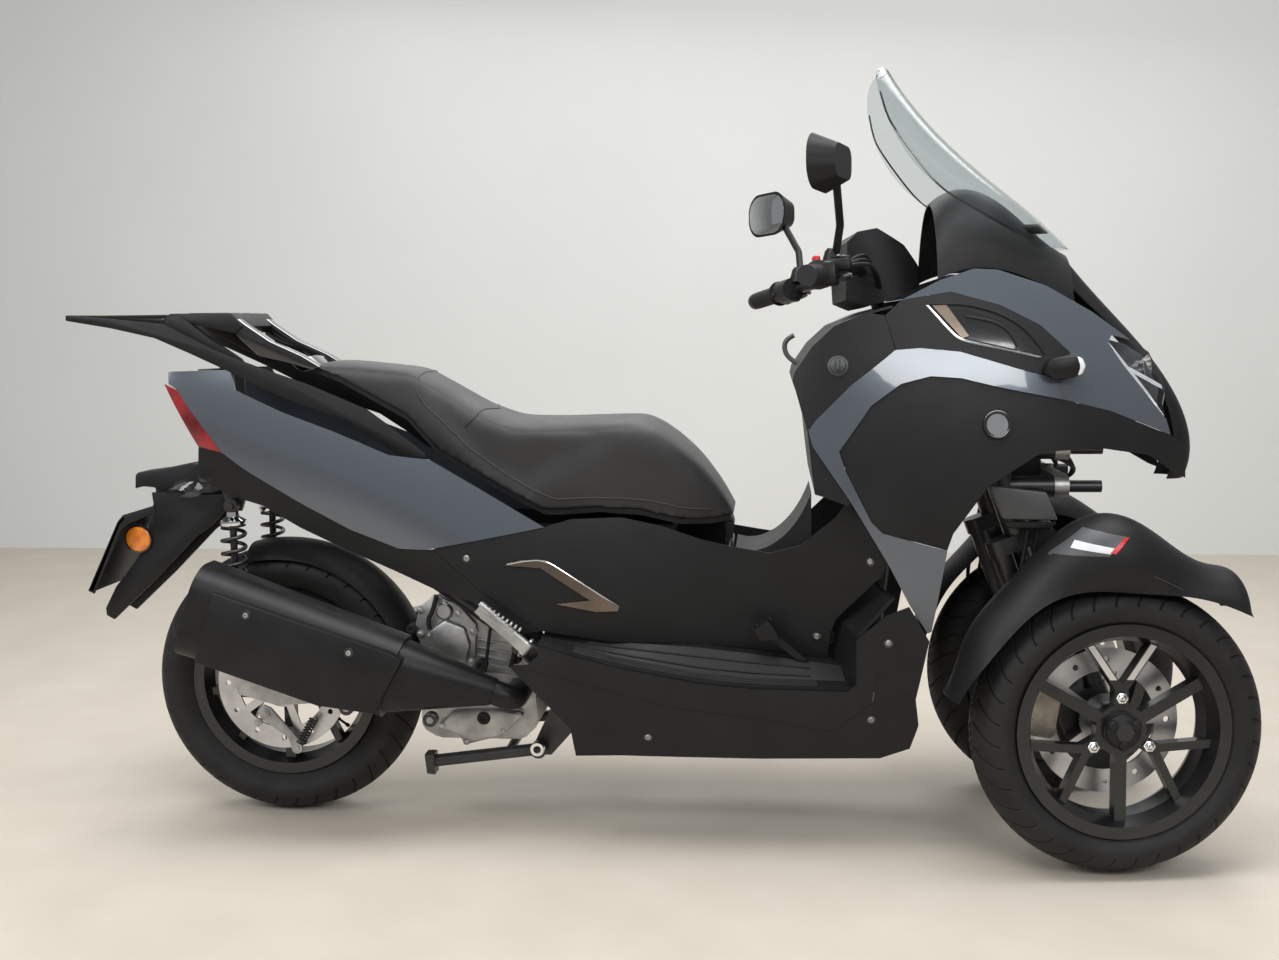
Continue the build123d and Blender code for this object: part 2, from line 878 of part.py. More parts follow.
hugger_clearance = 14.0
hugger_half = 76.0
with BuildPart() as rear_hugger:
    with BuildSketch(axle_plane(0, rear_axle_z, 104)):
        with BuildLine():
            low = rear_tyre_radius + hugger_clearance
            ThreePointArc((-hugger_half, low - 34), (0, low), (hugger_half, low - 34))
            Line((hugger_half, low - 34), (hugger_half - 3, low - 34))
            ThreePointArc(
                (hugger_half - 3, low - 34), (0, low - 3), (3 - hugger_half, low - 34)
            )
            Line((3 - hugger_half, low - 34), (-hugger_half, low - 34))
        make_face()
    revolve(axis=Axis(at(0, 0, rear_axle_z), (0, 1, 0)), revolution_arc=86)
    with BuildSketch(side_plane(case_inner_y - seat_gap)):
        with Locations((228, 362)):
            RectangleRounded(36, 30, 6)
    extrude(amount=9)
write(rear_hugger.part, "rear_hugger")


# ---- rear bodywork --------------------------------------------------------------------------
# x, then the lower edge, the fullest point and the upper edge of the skin, each (y, z)
rear_skin = (
    (-215, (66, 720), (84, 830), (62, 930)),
    (-60, (96, 600), (128, 780), (104, 940)),
    (120, (122, 500), (158, 700), (128, 900)),
    (320, (146, 400), (180, 600), (150, 800)),
    (540, (176, 340), (196, 530), (160, 720)),
    (760, (150, 340), (168, 500), (146, 680)),
    (980, (128, 330), (140, 500), (150, 690)),
    (1090, (130, 330), (166, 500), (178, 690)),
    (1210, (160, 330), (238, 520), (236, 700)),
)

# x, height of the floor at its outer edge, height beside the tunnel
floor_stations = (
    (556, 404, 411),
    (690, 369, 394),
    (850, 340, 385),
    (950, 331, 374),
    (1100, 328, 356),
    (1150, 327, 350),
)
foot_gap = 1.4

tail_outline = (
    (-205, 908),
    (-62, 912),
    (-50, 873),
    (45, 832),
    (145, 797),
    (262, 750),
    (342, 741),
    (437, 688),
    (562, 616),
    (338, 572),
    (279, 572),
    (182, 606),
    (86, 654),
    (-35, 720),
    (-84, 752),
    (-184, 874),
    (-202, 884),
)
lamp_outline = ((-212, 884), (-184, 873), (-84, 751), (-138, 762))
trim_outline = (
    (-138, 761),
    (-84, 751),
    (-35, 719),
    (86, 653),
    (182, 605),
    (279, 571),
    (338, 571),
    (346, 572),
    (437, 495),
    (552, 418),
    (520, 412),
    (430, 470),
    (352, 492),
    (275, 524),
    (168, 566),
    (78, 606),
    (0, 648),
    (-85, 668),
    (-150, 700),
)
cover_outline = (
    (347, 572),
    (562, 616),
    (612, 630),
    (705, 632),
    (780, 615),
    (855, 588),
    (912, 574),
    (984, 562),
    (1042, 580),
    (1103, 634),
    (1126, 668),
    (1150, 632),
    (1194, 558),
    (1186, 535),
    (1106, 440),
    (1097, 410),
    (1092, floor_stations[-2][2] + foot_gap + 1),
    *[(x, inner_z + foot_gap) for x, outer_z, inner_z in floor_stations[-3:0:-1]],
    (552, 419),
    (437, 496),
)
chevron_outline = (
    (485, 545),
    (518, 555),
    (566, 556),
    (702, 466),
    (699, 456),
    (658, 456),
    (583, 472),
    (648, 478),
    (556, 540),
    (520, 543),
)

with BuildPart() as tail_panels:
    loft(skin_sections(rear_skin, proud=2))
    extrude(outline(tail_outline), amount=half_limit, both=True, mode=Mode.INTERSECT)
    extrude(widened(lamp_outline, panel_gap), amount=half_limit, both=True, mode=Mode.SUBTRACT)
    mirror(about=Plane.XZ)
write(tail_panels.part, "tail_panels")

with BuildPart() as tail_lamp:
    loft(skin_sections(rear_skin, inward=2, proud=2))
    extrude(outline(lamp_outline), amount=half_limit, both=True, mode=Mode.INTERSECT)
    mirror(about=Plane.XZ)
write(tail_lamp.part, "tail_lamp")

with BuildPart() as tail_trim:
    loft(skin_sections(rear_skin))
    extrude(outline(trim_outline), amount=half_limit, both=True, mode=Mode.INTERSECT)
    extrude(widened(tail_outline, panel_gap), amount=half_limit, both=True, mode=Mode.SUBTRACT)
    extrude(widened(lamp_outline, panel_gap), amount=half_limit, both=True, mode=Mode.SUBTRACT)
    mirror(about=Plane.XZ)
write(tail_trim.part, "tail_trim")

with BuildPart() as side_covers:
    loft(skin_sections(rear_skin))
    extrude(outline(cover_outline), amount=half_limit, both=True, mode=Mode.INTERSECT)
    extrude(widened(tail_outline, panel_gap), amount=half_limit, both=True, mode=Mode.SUBTRACT)
    extrude(widened(trim_outline, panel_gap), amount=half_limit, both=True, mode=Mode.SUBTRACT)
    extrude(widened(chevron_outline, panel_gap), amount=half_limit, both=True, mode=Mode.SUBTRACT)
    mirror(about=Plane.XZ)
write(side_covers.part, "side_covers")

with BuildPart() as side_chevrons:
    loft(skin_sections(rear_skin, proud=3))
    extrude(outline(chevron_outline), amount=half_limit, both=True, mode=Mode.INTERSECT)
    mirror(about=Plane.XZ)
write(side_chevrons.part, "side_chevrons")


# ---- floor, skirts and tunnel ---------------------------------------------------------------
def core_section(plane, low, middle, top, inward):
    """What a bowed skin encloses, out to its inner face less a gap, down to the middle."""
    rim = [(y - inward, z) for y, z in (low, middle, top)]
    with BuildSketch(plane) as shape:
        with BuildLine():
            ThreePointArc(*rim)
            Polyline(rim[2], (0, rim[2][1]), (0, rim[0][1]), rim[0])
        make_face()
    return shape.sketch


def core_sections(stations, inward=wall + seat_gap):
    return [
        core_section(section_plane(x), low, middle, top, inward) for x, low, middle, top in stations
    ]


skirt_skin = (
    (470, (186, 160), (226, 300), (236, 440)),
    (740, (196, 160), (247, 300), (252, 440)),
    (1020, (200, 160), (251, 320), (256, 480)),
    (1290, (204, 160), (256, 360), (262, 580)),
)
skirt_outline = (
    (499, 362),
    (594, 345),
    (805, 291),
    (1004, 265),
    (1091, 247),
    (1113, 257),
    (1170, 307),
    (1175, 362),
    (1247, 313),
    (1254, 261),
    (1240, 213),
    (1186, 191),
    (966, 185),
    (702, 185),
    (618, 181),
    (612, 240),
    (588, 268),
)
rim_drop = 2.0
band_outline = (
    (499, 362),
    (536, 366),
    (556, 384),
    (556, 401),
    *[(x, outer_z - rim_drop) for x, outer_z, inner_z in floor_stations[1:-2]],
    (1125, 326),
    (1140, 340),
    (1139, 424),
    (1192, 470),
    (1232, 486),
    (1268, 424),
    (1247, 313),
    (1175, 362),
    (1170, 307),
    (1113, 257),
    (1091, 247),
    (1004, 265),
    (805, 291),
    (594, 345),
)
floor_inner_y = 117.5
floor_thickness = 8.0
# half width where the raised part beside the tunnel ends, where the low part begins, its reach
floor_step_y = (168.0, 196.0, 280.0)
floor_low_rise = 4.0
# height, x of the inner and of the outer end of the wall ahead of the feet
toe_wall_stations = ((326, 1101, 1141), (432, 1109, 1141), (500, 1179, 1200))
toe_wall_y = (121.0, 256.0)


def floor_section(x, outer_z, inner_z):
    """The floor across the vehicle: low and flat under the foot, raised beside the tunnel."""
    top = (
        (floor_step_y[2], outer_z),
        (floor_step_y[1], outer_z + floor_low_rise),
        (floor_step_y[0], inner_z),
        (floor_inner_y, inner_z),
    )
    under = [(y, z - floor_thickness) for y, z in top[::-1]]
    with BuildSketch(section_plane(x)) as shape:
        with BuildLine():
            Polyline(*top, *under, close=True)
        make_face()
    return shape.sketch


def toe_wall_section(z, inner_x, outer_x):
    with BuildSketch(plan_plane(z)) as shape:
        with BuildLine():
            Polyline(
                (inner_x, toe_wall_y[0]),
                (outer_x, toe_wall_y[1]),
                (outer_x + floor_thickness, toe_wall_y[1]),
                (inner_x + floor_thickness, toe_wall_y[0]),
                close=True,
            )
        make_face()
    return shape.sketch


with BuildPart() as lower_skirts:
    loft(skin_sections(skirt_skin))
    extrude(outline(skirt_outline), amount=half_limit, both=True, mode=Mode.INTERSECT)
    extrude(widened(band_outline, panel_gap), amount=half_limit, both=True, mode=Mode.SUBTRACT)
    mirror(about=Plane.XZ)

with BuildPart() as skirt_bands:
    loft(skin_sections(skirt_skin, proud=1))
    extrude(outline(band_outline), amount=half_limit, both=True, mode=Mode.INTERSECT)
    mirror(about=Plane.XZ)
write(Compound([*lower_skirts.part.solids(), *skirt_bands.part.solids()]), "lower_skirts")

with BuildPart() as floorboards:
    loft([floor_section(*row) for row in floor_stations], ruled=True)
    loft([toe_wall_section(*row) for row in toe_wall_stations], ruled=True)
    loft(core_sections(skirt_skin), mode=Mode.INTERSECT)
    mirror(about=Plane.XZ)
write(floorboards.part, "floorboards")

# x, half width at the foot, height of the foot, half width and height of the shoulder
tunnel_stations = (
    (918, 117.2, 369, 92, 562),
    (996, 117.2, 360, 92, 576),
    (1043, 117.2, 355, 96, 630),
    (1062, 117.2, 352, 100, 672),
)


def arch_section(plane, foot_y, foot_z, shoulder_y, shoulder_z, inset):
    points = (
        (-foot_y + inset, foot_z),
        (-shoulder_y + inset, shoulder_z - inset),
        (shoulder_y - inset, shoulder_z - inset),
        (foot_y - inset, foot_z),
    )
    with BuildSketch(plane) as shape:
        with BuildLine():
            Polyline(*points, close=True)
        make_face()
    return shape.sketch


with BuildPart() as tunnel_cover:
    loft([arch_section(section_plane(x), *row, 0) for x, *row in tunnel_stations])
    loft([arch_section(section_plane(x), *row, wall) for x, *row in tunnel_stations],
         mode=Mode.SUBTRACT)
write(tunnel_cover.part, "tunnel_cover")


# ---- front bodywork -------------------------------------------------------------------------
front_skin = (
    (1010, (214, 380), (250, 680), (205, 960)),
    (1160, (228, 380), (268, 700), (206, 1040)),
    (1320, (234, 460), (264, 760), (164, 1100)),
    (1480, (220, 560), (232, 800), (120, 1090)),
    (1620, (170, 640), (176, 800), (70, 1030)),
    (1720, (110, 660), (116, 780), (40, 960)),
    (1790, (56, 680), (60, 740), (24, 860)),
)
boomerang_outline = (
    (1052, 801),
    (1064, 819),
    (1126, 881),
    (1170, 915),
    (1205, 943),
    (1248, 946),
    (1318, 939),
    (1440, 902),
    (1491, 890),
    (1499, 853),
    (1388, 876),
    (1319, 893),
    (1266, 897),
    (1214, 884),
    (1162, 846),
    (1106, 765),
    (1118, 729),
    (1163, 640),
    (1183, 620),
    (1297, 588),
    (1273, 424),
    (1233, 488),
    (1196, 560),
    (1127, 675),
    (1059, 774),
)
side_panel_outline = (
    (1106, 765),
    (1162, 846),
    (1214, 884),
    (1266, 897),
    (1319, 893),
    (1388, 876),
    (1499, 853),
    (1590, 830),
    (1714, 781),
    (1745, 760),
    (1750, 700),
    (1735, 706),
    (1668, 748),
    (1566, 766),
    (1462, 762),
    (1367, 703),
    (1307, 619),
    (1297, 588),
    (1183, 620),
    (1163, 640),
    (1118, 729),
)
cowl_outline = (
    (1217, 1031),
    (1287, 1066),
    (1348, 1086),
    (1392, 1084),
    (1480, 1055),
    (1568, 1006),
    (1640, 955),
    (1601, 965),
    (1592, 952),
    (1620, 910),
    (1666, 855),
    (1705, 809),
    (1714, 781),
    (1590, 830),
    (1499, 853),
    (1491, 890),
    (1517, 935),
    (1464, 984),
    (1394, 1020),
    (1305, 1045),
)
intake_outline = (
    (1206, 944),
    (1188, 1004),
    (1217, 1031),
    (1305, 1045),
    (1394, 1020),
    (1464, 984),
    (1517, 935),
    (1491, 890),
    (1440, 902),
    (1318, 939),
    (1248, 946),
)
headlamp_outline = (
    (1592, 952),
    (1601, 965),
    (1640, 955),
    (1676, 933),
    (1696, 891),
    (1706, 867),
    (1697, 836),
    (1705, 809),
    (1666, 855),
    (1620, 910),
)
nose_half = 44.0


def nose_gap_cut():
    with BuildSketch(plan_plane(500)) as shape:
        with Locations((1700, 0)):
            Rectangle(500, 2 * (nose_half + panel_gap))
    return shape.sketch


with BuildPart() as boomerang_panels:
    loft(skin_sections(front_skin, proud=3))
    extrude(outline(boomerang_outline), amount=half_limit, both=True, mode=Mode.INTERSECT)
    mirror(about=Plane.XZ)
write(boomerang_panels.part, "boomerang_panels")

with BuildPart() as front_side_panels:
    loft(skin_sections(front_skin))
    extrude(outline(side_panel_outline), amount=half_limit, both=True, mode=Mode.INTERSECT)
    extrude(widened(boomerang_outline, panel_gap), amount=half_limit, both=True, mode=Mode.SUBTRACT)
    extrude(nose_gap_cut(), amount=700, mode=Mode.SUBTRACT)
    mirror(about=Plane.XZ)
write(front_side_panels.part, "front_side_panels")

with BuildPart() as upper_cowl:
    loft(skin_sections(front_skin))
    extrude(outline(cowl_outline), amount=half_limit, both=True, mode=Mode.INTERSECT)
    for neighbour in (boomerang_outline, side_panel_outline):
        extrude(widened(neighbour, panel_gap), amount=half_limit, both=True, mode=Mode.SUBTRACT)
    extrude(nose_gap_cut(), amount=700, mode=Mode.SUBTRACT)
    mirror(about=Plane.XZ)
write(upper_cowl.part, "upper_cowl")

with BuildPart() as side_intakes:
    loft(skin_sections(front_skin))
    extrude(outline(intake_outline), amount=half_limit, both=True, mode=Mode.INTERSECT)
    for neighbour in (boomerang_outline, cowl_outline):
        extrude(widened(neighbour, panel_gap), amount=half_limit, both=True, mode=Mode.SUBTRACT)
    mirror(about=Plane.XZ)
write(side_intakes.part, "side_intakes")

with BuildPart() as headlamps:
    loft(skin_sections(front_skin, inward=14))
    extrude(outline(headlamp_outline), amount=half_limit, both=True, mode=Mode.INTERSECT)
    extrude(widened(cowl_outline, panel_gap), amount=half_limit, both=True, mode=Mode.SUBTRACT)
    extrude(nose_gap_cut(), amount=700, mode=Mode.SUBTRACT)
    mirror(about=Plane.XZ)
write(headlamps.part, "headlamps")

# height, x of the middle, x of the side edges
nose_stations = (
    (692, 1770, 1734),
    (745, 1782, 1746),
    (880, 1733, 1708),
    (1029, 1608, 1574),
    (1108, 1540, 1506),
)
with BuildPart() as nose_beak:
    sections = []
    for z, middle_x, side_x in nose_stations:
        with BuildSketch(plan_plane(z)) as section:
            with BuildLine():
                outer = ((side_x, -nose_half), (middle_x, 0), (side_x, nose_half))
                inner = [(x - 5, y) for x, y in outer]
                ThreePointArc(*outer)
                Line(outer[2], inner[2])
                ThreePointArc(*inner[::-1])
                Line(inner[0], outer[0])
            make_face()
        sections.append(section.sketch)
    loft(sections)
write(nose_beak.part, "nose_beak")

# x, half width and height of the sides, height of the middle
screen_cowl_stations = (
    (1284, 176, 1067, 1214),
    (1380, 158, 1087, 1234),
    (1460, 140, 1064, 1176),
    (1536, 116, 1026, 1116),
)
# height, x of the middle, x of the side edges, half width
windscreen_stations = (
    (1124, 1545, 1470, 124),
    (1180, 1486, 1372, 158),
    (1250, 1400, 1268, 172),
    (1340, 1300, 1204, 168),
    (1410, 1240, 1182, 140),
    (1460, 1208, 1190, 62),
)
screen_thickness = 5.0


def screen_sections(ahead, behind):
    """Level slices of the windscreen, from a distance ahead of its face to one behind it."""
    slices = []
    for z, middle_x, side_x, half in windscreen_stations:
        face = ((side_x, -half), (middle_x, 0), (side_x, half))
        outer = [(x + ahead, y) for x, y in face]
        inner = [(x - behind, y) for x, y in face]
        with BuildSketch(plan_plane(z)) as section:
            with BuildLine():
                ThreePointArc(*outer)
                Line(outer[2], inner[2])
                ThreePointArc(*inner[::-1])
                Line(inner[0], outer[0])
            make_face()
        slices.append(section.sketch)
    return slices


with BuildPart() as windscreen:
    loft(screen_sections(0, screen_thickness))
write(windscreen.part, "windscreen")

with BuildPart() as screen_space:
    loft(screen_sections(60, screen_thickness + seat_gap))

screen_post_y = 70.0
screen_post_z = 1160.0
screen_post_radius = 9.0
with BuildPart() as screen_posts:
    with BuildSketch(section_plane(1420)):
        with Locations((-screen_post_y, screen_post_z), (screen_post_y, screen_post_z)):
            Circle(screen_post_radius)
    extrude(amount=80)
    add(screen_space.part, mode=Mode.SUBTRACT)

with BuildPart() as screen_cowl:
    sections = []
    for x, half, side_z, middle_z in screen_cowl_stations:
        with BuildSketch(section_plane(x)) as section:
            with BuildLine():
                outer = ((-half, side_z), (0, middle_z), (half, side_z))
                inner = ((half - 4, side_z), (0, middle_z - 4), (4 - half, side_z))
                ThreePointArc(*outer)
                Line(outer[2], inner[0])
                ThreePointArc(*inner)
                Line(inner[2], outer[0])
            make_face()
        sections.append(section.sketch)
    loft(sections)
    add(screen_posts.part)
    extrude(widened(cowl_outline, panel_gap), amount=half_limit, both=True, mode=Mode.SUBTRACT)
write(screen_cowl.part, "screen_cowl")



shield_profile = (
    (1128, 672),
    (1066, 689),
    (1060, 735),
    (1053, 799),
    (1038, 853),
    (1026, 888),
    (1030, 904),
    (1061, 949),
    (1099, 984),
    (1157, 1008),
    (1200, 1019),
)
shield_side_upper = (
    (1026, 888),
    (1030, 904),
    (1061, 949),
    (1099, 984),
    (1157, 1009),
    (1187, 1004),
    (1205, 943),
    (1170, 914),
    (1126, 880),
    (1064, 818),
    (1053, 799),
    (1038, 853),
)
shield_side_lower = (
    (1053, 798),
    (1059, 774),
    (1127, 675),
    (1122, 668),
    (1066, 688),
    (1060, 735),
)
with BuildPart() as shield_return_upper:
    loft(skin_sections(front_skin))
    extrude(outline(shield_side_upper), amount=half_limit, both=True, mode=Mode.INTERSECT)
    extrude(widened(boomerang_outline, panel_gap), amount=half_limit, both=True, mode=Mode.SUBTRACT)
    extrude(widened(intake_outline, panel_gap), amount=half_limit, both=True, mode=Mode.SUBTRACT)
    mirror(about=Plane.XZ)

with BuildPart() as shield_return_lower:
    loft(skin_sections(front_skin))
    extrude(outline(shield_side_lower), amount=half_limit, both=True, mode=Mode.INTERSECT)
    extrude(widened(boomerang_outline, panel_gap), amount=half_limit, both=True, mode=Mode.SUBTRACT)
    mirror(about=Plane.XZ)

with BuildPart() as leg_shield:
    loft(core_sections(front_skin[:3], wall - 1))
    mirror(about=Plane.XZ)
    with BuildSketch(side_plane(half_limit)):
        with BuildLine():
            Polyline(*shield_profile)
            offset(amount=2, kind=Kind.INTERSECTION)
        make_face()
    extrude(amount=2 * half_limit, mode=Mode.INTERSECT)
    extrude(widened(boomerang_outline, panel_gap), amount=half_limit, both=True, mode=Mode.SUBTRACT)
    extrude(widened(cover_outline, panel_gap), amount=half_limit, both=True, mode=Mode.SUBTRACT)
    with BuildSketch(column_plane(-120)):
        Circle(head_radius + 8)
    extrude(amount=160, mode=Mode.SUBTRACT)
    add(shield_return_upper.part)
    add(shield_return_lower.part)
write(leg_shield.part, "leg_shield")


# ---- seat -----------------------------------------------------------------------------------
seat_hinge = (905, 600)
seat_top = (
    (91, 925),
    (255, 908),
    (296, 902),
    (326, 885),
    (366, 861),
    (416, 831),
    (446, 819),
    (486, 806),
    (567, 804),
    (727, 808),
    (757, 804),
    (806, 770),
    (846, 734),
    (885, 684),
    (911, 644),
    (918, 627),
)
seat_bottom = (
    (909, 616),
    (872, 612),
    (815, 614),
    (740, 634),
    (664, 640),
    (587, 634),
    (558, 634),
    (472, 676),
    (377, 728),
    (339, 748),
    (282, 812),
    (150, 886),
    (95, 906),
)
# x and half width of the seat in plan
seat_plan = (
    (80, 84),
    (140, 102),
    (345, 104),
    (440, 132),
    (520, 150),
    (700, 158),
    (800, 138),
    (880, 104),
    (925, 84),
)
pan_thickness = 10.0


def seat_plan_cut(inset):
    with BuildSketch(plan_plane(400)) as shape:
        with BuildLine():
            right = [(x, inset - half) for x, half in seat_plan]
            left = [(x, half - inset) for x, half in seat_plan]
            Polyline(*right, *left[::-1], close=True)
        make_face()
    return shape.sketch


pan_top = [(x, z + pan_thickness) for x, z in seat_bottom]
with BuildPart() as seat_base:
    extrude(outline((*seat_bottom, *pan_top[::-1])), amount=half_limit, both=True)
    extrude(seat_plan_cut(8), amount=700, mode=Mode.INTERSECT)
    with BuildSketch(side_plane(30)):
        with Locations(seat_hinge):
            Circle(9)
        with BuildLine():
            Polyline(
                (seat_hinge[0] - 9, seat_hinge[1]),
                (seat_hinge[0] + 9, seat_hinge[1]),
                (seat_hinge[0] + 4, seat_hinge[1] + 18),
                (seat_hinge[0] - 20, seat_hinge[1] + 16),
                close=True,
            )
        make_face()
    extrude(amount=60)
    with BuildSketch(side_plane(half_limit)):
        with Locations(seat_hinge):
            Circle(5 + running_gap)
    extrude(amount=2 * half_limit, mode=Mode.SUBTRACT)
write(seat_base.part, "seat_base")

cushion_foot = [(x, z + pan_thickness + seat_gap) for x, z in seat_bottom]
with BuildPart() as seat_cushion:
    extrude(outline((*seat_top, *cushion_foot)), amount=half_limit, both=True)
    extrude(seat_plan_cut(0), amount=700, mode=Mode.INTERSECT)
write(seat_cushion.part, "seat_cushion")


# ---- rack, plate holder and lamps -----------------------------------------------------------
rack_half = 118.0
rack_profile = (
    (-388, 1020),
    (-279, 1013),
    (-188, 1004),
    (-187, 1022),
    (-68, 1022),
    (-35, 1000),
    (14, 967),
    (90, 940),
    (135, 926),
    (262, 852),
    (330, 780),
    (330, 742),
    (262, 777),
    (135, 832),
    (76, 855),
    (-52, 910),
    (-121, 940),
    (-180, 963),
    (-220, 977),
    (-321, 998),
    (-388, 1009),
)
with BuildPart() as rear_rack:
    extrude(outline(rack_profile), amount=rack_half, both=True)
    with BuildSketch(plan_plane(700)):
        with Locations((220, 0)):
            Rectangle(300, 2 * rack_half - 16)
        with Locations((-285, 0)):
            RectangleRounded(150, 150, 30)
        for y in (-52, 0, 52):
            with Locations((-115, y)):
                SlotOverall(96, 16)
    extrude(amount=400, mode=Mode.SUBTRACT)
    with BuildSketch(side_plane(half_limit)):
        with BuildLine():
            Polyline(
                (-188, 996),
                (-120, 984),
                (-80, 961),
                (-35, 931),
                (-52, 926),
                (-121, 954),
                (-180, 976),
                (-230, 990),
                close=True,
            )
        make_face()
    extrude(amount=2 * half_limit, mode=Mode.SUBTRACT)
write(rear_rack.part, "rear_rack")

with BuildPart() as plate_holder:
    with BuildSketch(side_plane(58)):
        with BuildLine():
            Polyline(
                (-267, 683),
                (-154, 654),
                (-154, 692),
                (-216, 700),
                (-318, 694),
                (-346, 604),
                (-404, 470),
                (-410, 398),
                (-396, 396),
                (-392, 466),
                (-330, 600),
                (-306, 680),
                close=True,
            )
        make_face()
    extrude(amount=116)
write(plate_holder.part, "plate_holder")

with BuildPart() as indicator_lamps:
    with BuildSketch(side_plane(-58.5)):
        with Locations((-185, 672)):
            Ellipse(34, 19)
    extrude(amount=60, taper=12)
    mirror(about=Plane.XZ)
write(indicator_lamps.part, "indicator_lamps")


# ---- steering -------------------------------------------------------------------------------
stem_low = -318.0
collar_radius = 20.0
bar_points = (
    at(1000, -350, 1055),
    at(1040, -230, 1065),
    at(1130, -120, 1085),
    at(1165, 0, 1075),
    at(1130, 120, 1085),
    at(1040, 230, 1065),
    at(1000, 350, 1055),
)
bar_bends = (60, 60, 80, 60, 60)
grip_radius = 16.5
grip_length = 116.0

with BuildPart() as handlebar:
    with BuildSketch(column_plane(stem_low)):
        Circle(column_stem_radius)
    extrude(amount=-stem_low + 30)
    with BuildSketch(column_plane(head_low - seat_gap)):
        Circle(collar_radius)
    extrude(amount=-10)
    with BuildSketch(column_plane(head_high + seat_gap)):
        Circle(column_stem_radius + 10)
    extrude(amount=14)
    with BuildSketch(column_plane(20)):
        RectangleRounded(44, 70, 10)
    extrude(amount=38)
    add(tube(bar_points, handlebar_radius, bar_bends))
    for side, name in sides:
        grip_run = Vector(-40, side * 120, -10)
        with BuildSketch(Plane(origin=at(1000, side * 350, 1055), z_dir=grip_run)):
            Circle(grip_radius)
        extrude(amount=-grip_length)
        with BuildSketch(Plane(origin=at(1000, side * 350, 1055), z_dir=grip_run)):
            Circle(grip_radius + 1)
        extrude(amount=10)
write_steered(handlebar.part, "handlebar", column)

cover_radius = 99.0
bar_cover_profile = (
    (1114, 1136),
    (1132, 1154),
    (1169, 1161),
    (1225, 1132),
    (1256, 1097),
    (1268, 1078),
    (1250, 1050),
    (1180, 1024),
    (1150, 1018),
    (1115, 1030),
)
with BuildPart() as cover_hollow:
    extrude(widened(bar_cover_profile, -wall), amount=130, both=True)
    with BuildSketch(column_plane(-60)):
        Circle(cover_radius - wall)
    extrude(amount=220, mode=Mode.INTERSECT)

with BuildPart() as bar_cover:
    extrude(outline(bar_cover_profile), amount=130, both=True)
    with BuildSketch(column_plane(-60)):
        Circle(cover_radius)
    extrude(amount=220, mode=Mode.INTERSECT)
    add(cover_hollow.part, mode=Mode.SUBTRACT)
    add(tube(bar_points, handlebar_radius + seat_gap, bar_bends), mode=Mode.SUBTRACT)
    with BuildSketch(column_plane(-80)):
        RectangleRounded(44 + 2 * seat_gap, 70 + 2 * seat_gap, 10)
    extrude(amount=80 + 58 + seat_gap, mode=Mode.SUBTRACT)
write_steered(bar_cover.part, "bar_cover", column)

with BuildPart() as bar_controls:
    for side, name in sides:
        grip_run = Vector(-40, side * 120, -10)
        inner_end = Vector(*at(1040, side * 230, 1065))
        with BuildSketch(Plane(origin=inner_end, z_dir=grip_run)):
            Circle(24)
        extrude(amount=-46)
        add(
            tube(
                (
                    at(1062, side * 214, 1064),
                    at(1092, side * 232, 1062),
                    at(1062, side * 330, 1050),
                ),
                5,
                (20,),
            )
        )
    add(tube(bar_points, handlebar_radius + running_gap, bar_bends), mode=Mode.SUBTRACT)
write_steered(bar_controls.part, "bar_controls", column)

mirror_centre = (1020, 345, 1240)
mirror_yaw = 28.0
mirror_half_width = 68.0
mirror_half_height = 46.0
mirror_depth = 42.0
with BuildPart() as mirrors:
    for side, name in sides:
        glass = Plane(
            origin=at(mirror_centre[0], side * mirror_centre[1], mirror_centre[2]),
            x_dir=(side * sin(radians(mirror_yaw)), -cos(radians(mirror_yaw)), 0),
            z_dir=(cos(radians(mirror_yaw)), side * sin(radians(mirror_yaw)), 0),
        )
        with BuildSketch(glass):
            RectangleRounded(2 * mirror_half_width, 2 * mirror_half_height, 40)
        with BuildSketch(glass.offset(mirror_depth)):
            RectangleRounded(1.3 * mirror_half_width, 1.2 * mirror_half_height, 20)
        loft()
        add(
            tube(
                (
                    at(1072, side * 196, 1090),
                    at(1074, side * 240, 1150),
                    at(1050, side * 330, 1226),
                ),
                7,
                (40,),
            )
        )
write_steered(mirrors.part, "mirrors", column)


# ---- brake pedal ----------------------------------------------------------------------------
pedal_y = 160.0
# outline and width of the arm and of the pad, which share an inner side
pedal_pieces = (
    (((978, 408), (1036, 364.2), (1056, 361.8), (1002, 408), (990, 420)), 12),
    (((954, 424), (980, 442), (993, 424), (1003, 406), (978, 406), (966, 404)), 30),
)
with BuildPart() as brake_pedal:
    for points, width in pedal_pieces:
        with BuildSketch(side_plane(-pedal_y)):
            with BuildLine():
                Polyline(*points, close=True)
            make_face()
        extrude(amount=width)
write(brake_pedal.part, "brake_pedal")


# ---- frame ----------------------------------------------------------------------------------

beam_half = 30.0
beam_profile = (
    (1240, 806),
    (1300, 812),
    (1440, 800),
    (arm_x - seat_gap, 786),
    (arm_x - seat_gap, 664),
    (1450, 662),
    (1290, 706),
    (1262, 730),
)
nose_plate_profile = (
    (1440, 790),
    (1490, 780),
    (1540, 880),
    (1640, 868),
    (1726.8, 878.5),
    (1725.5, 882),
    (1650, 914),
    (1560, 914),
    (1580, 1000),
    (1556, 1006),
    (1500, 1090),
    (1466, 1166),
    (1454, 1175.1),
    (1446, 1160),
    (1486, 1070),
    (1530, 1000),
    (1500, 860),
)
# x and height of the bars under the floor, half width of the posts that carry them
floor_bars = ((700, 350.6, 117), (1000, 313.4, 113))

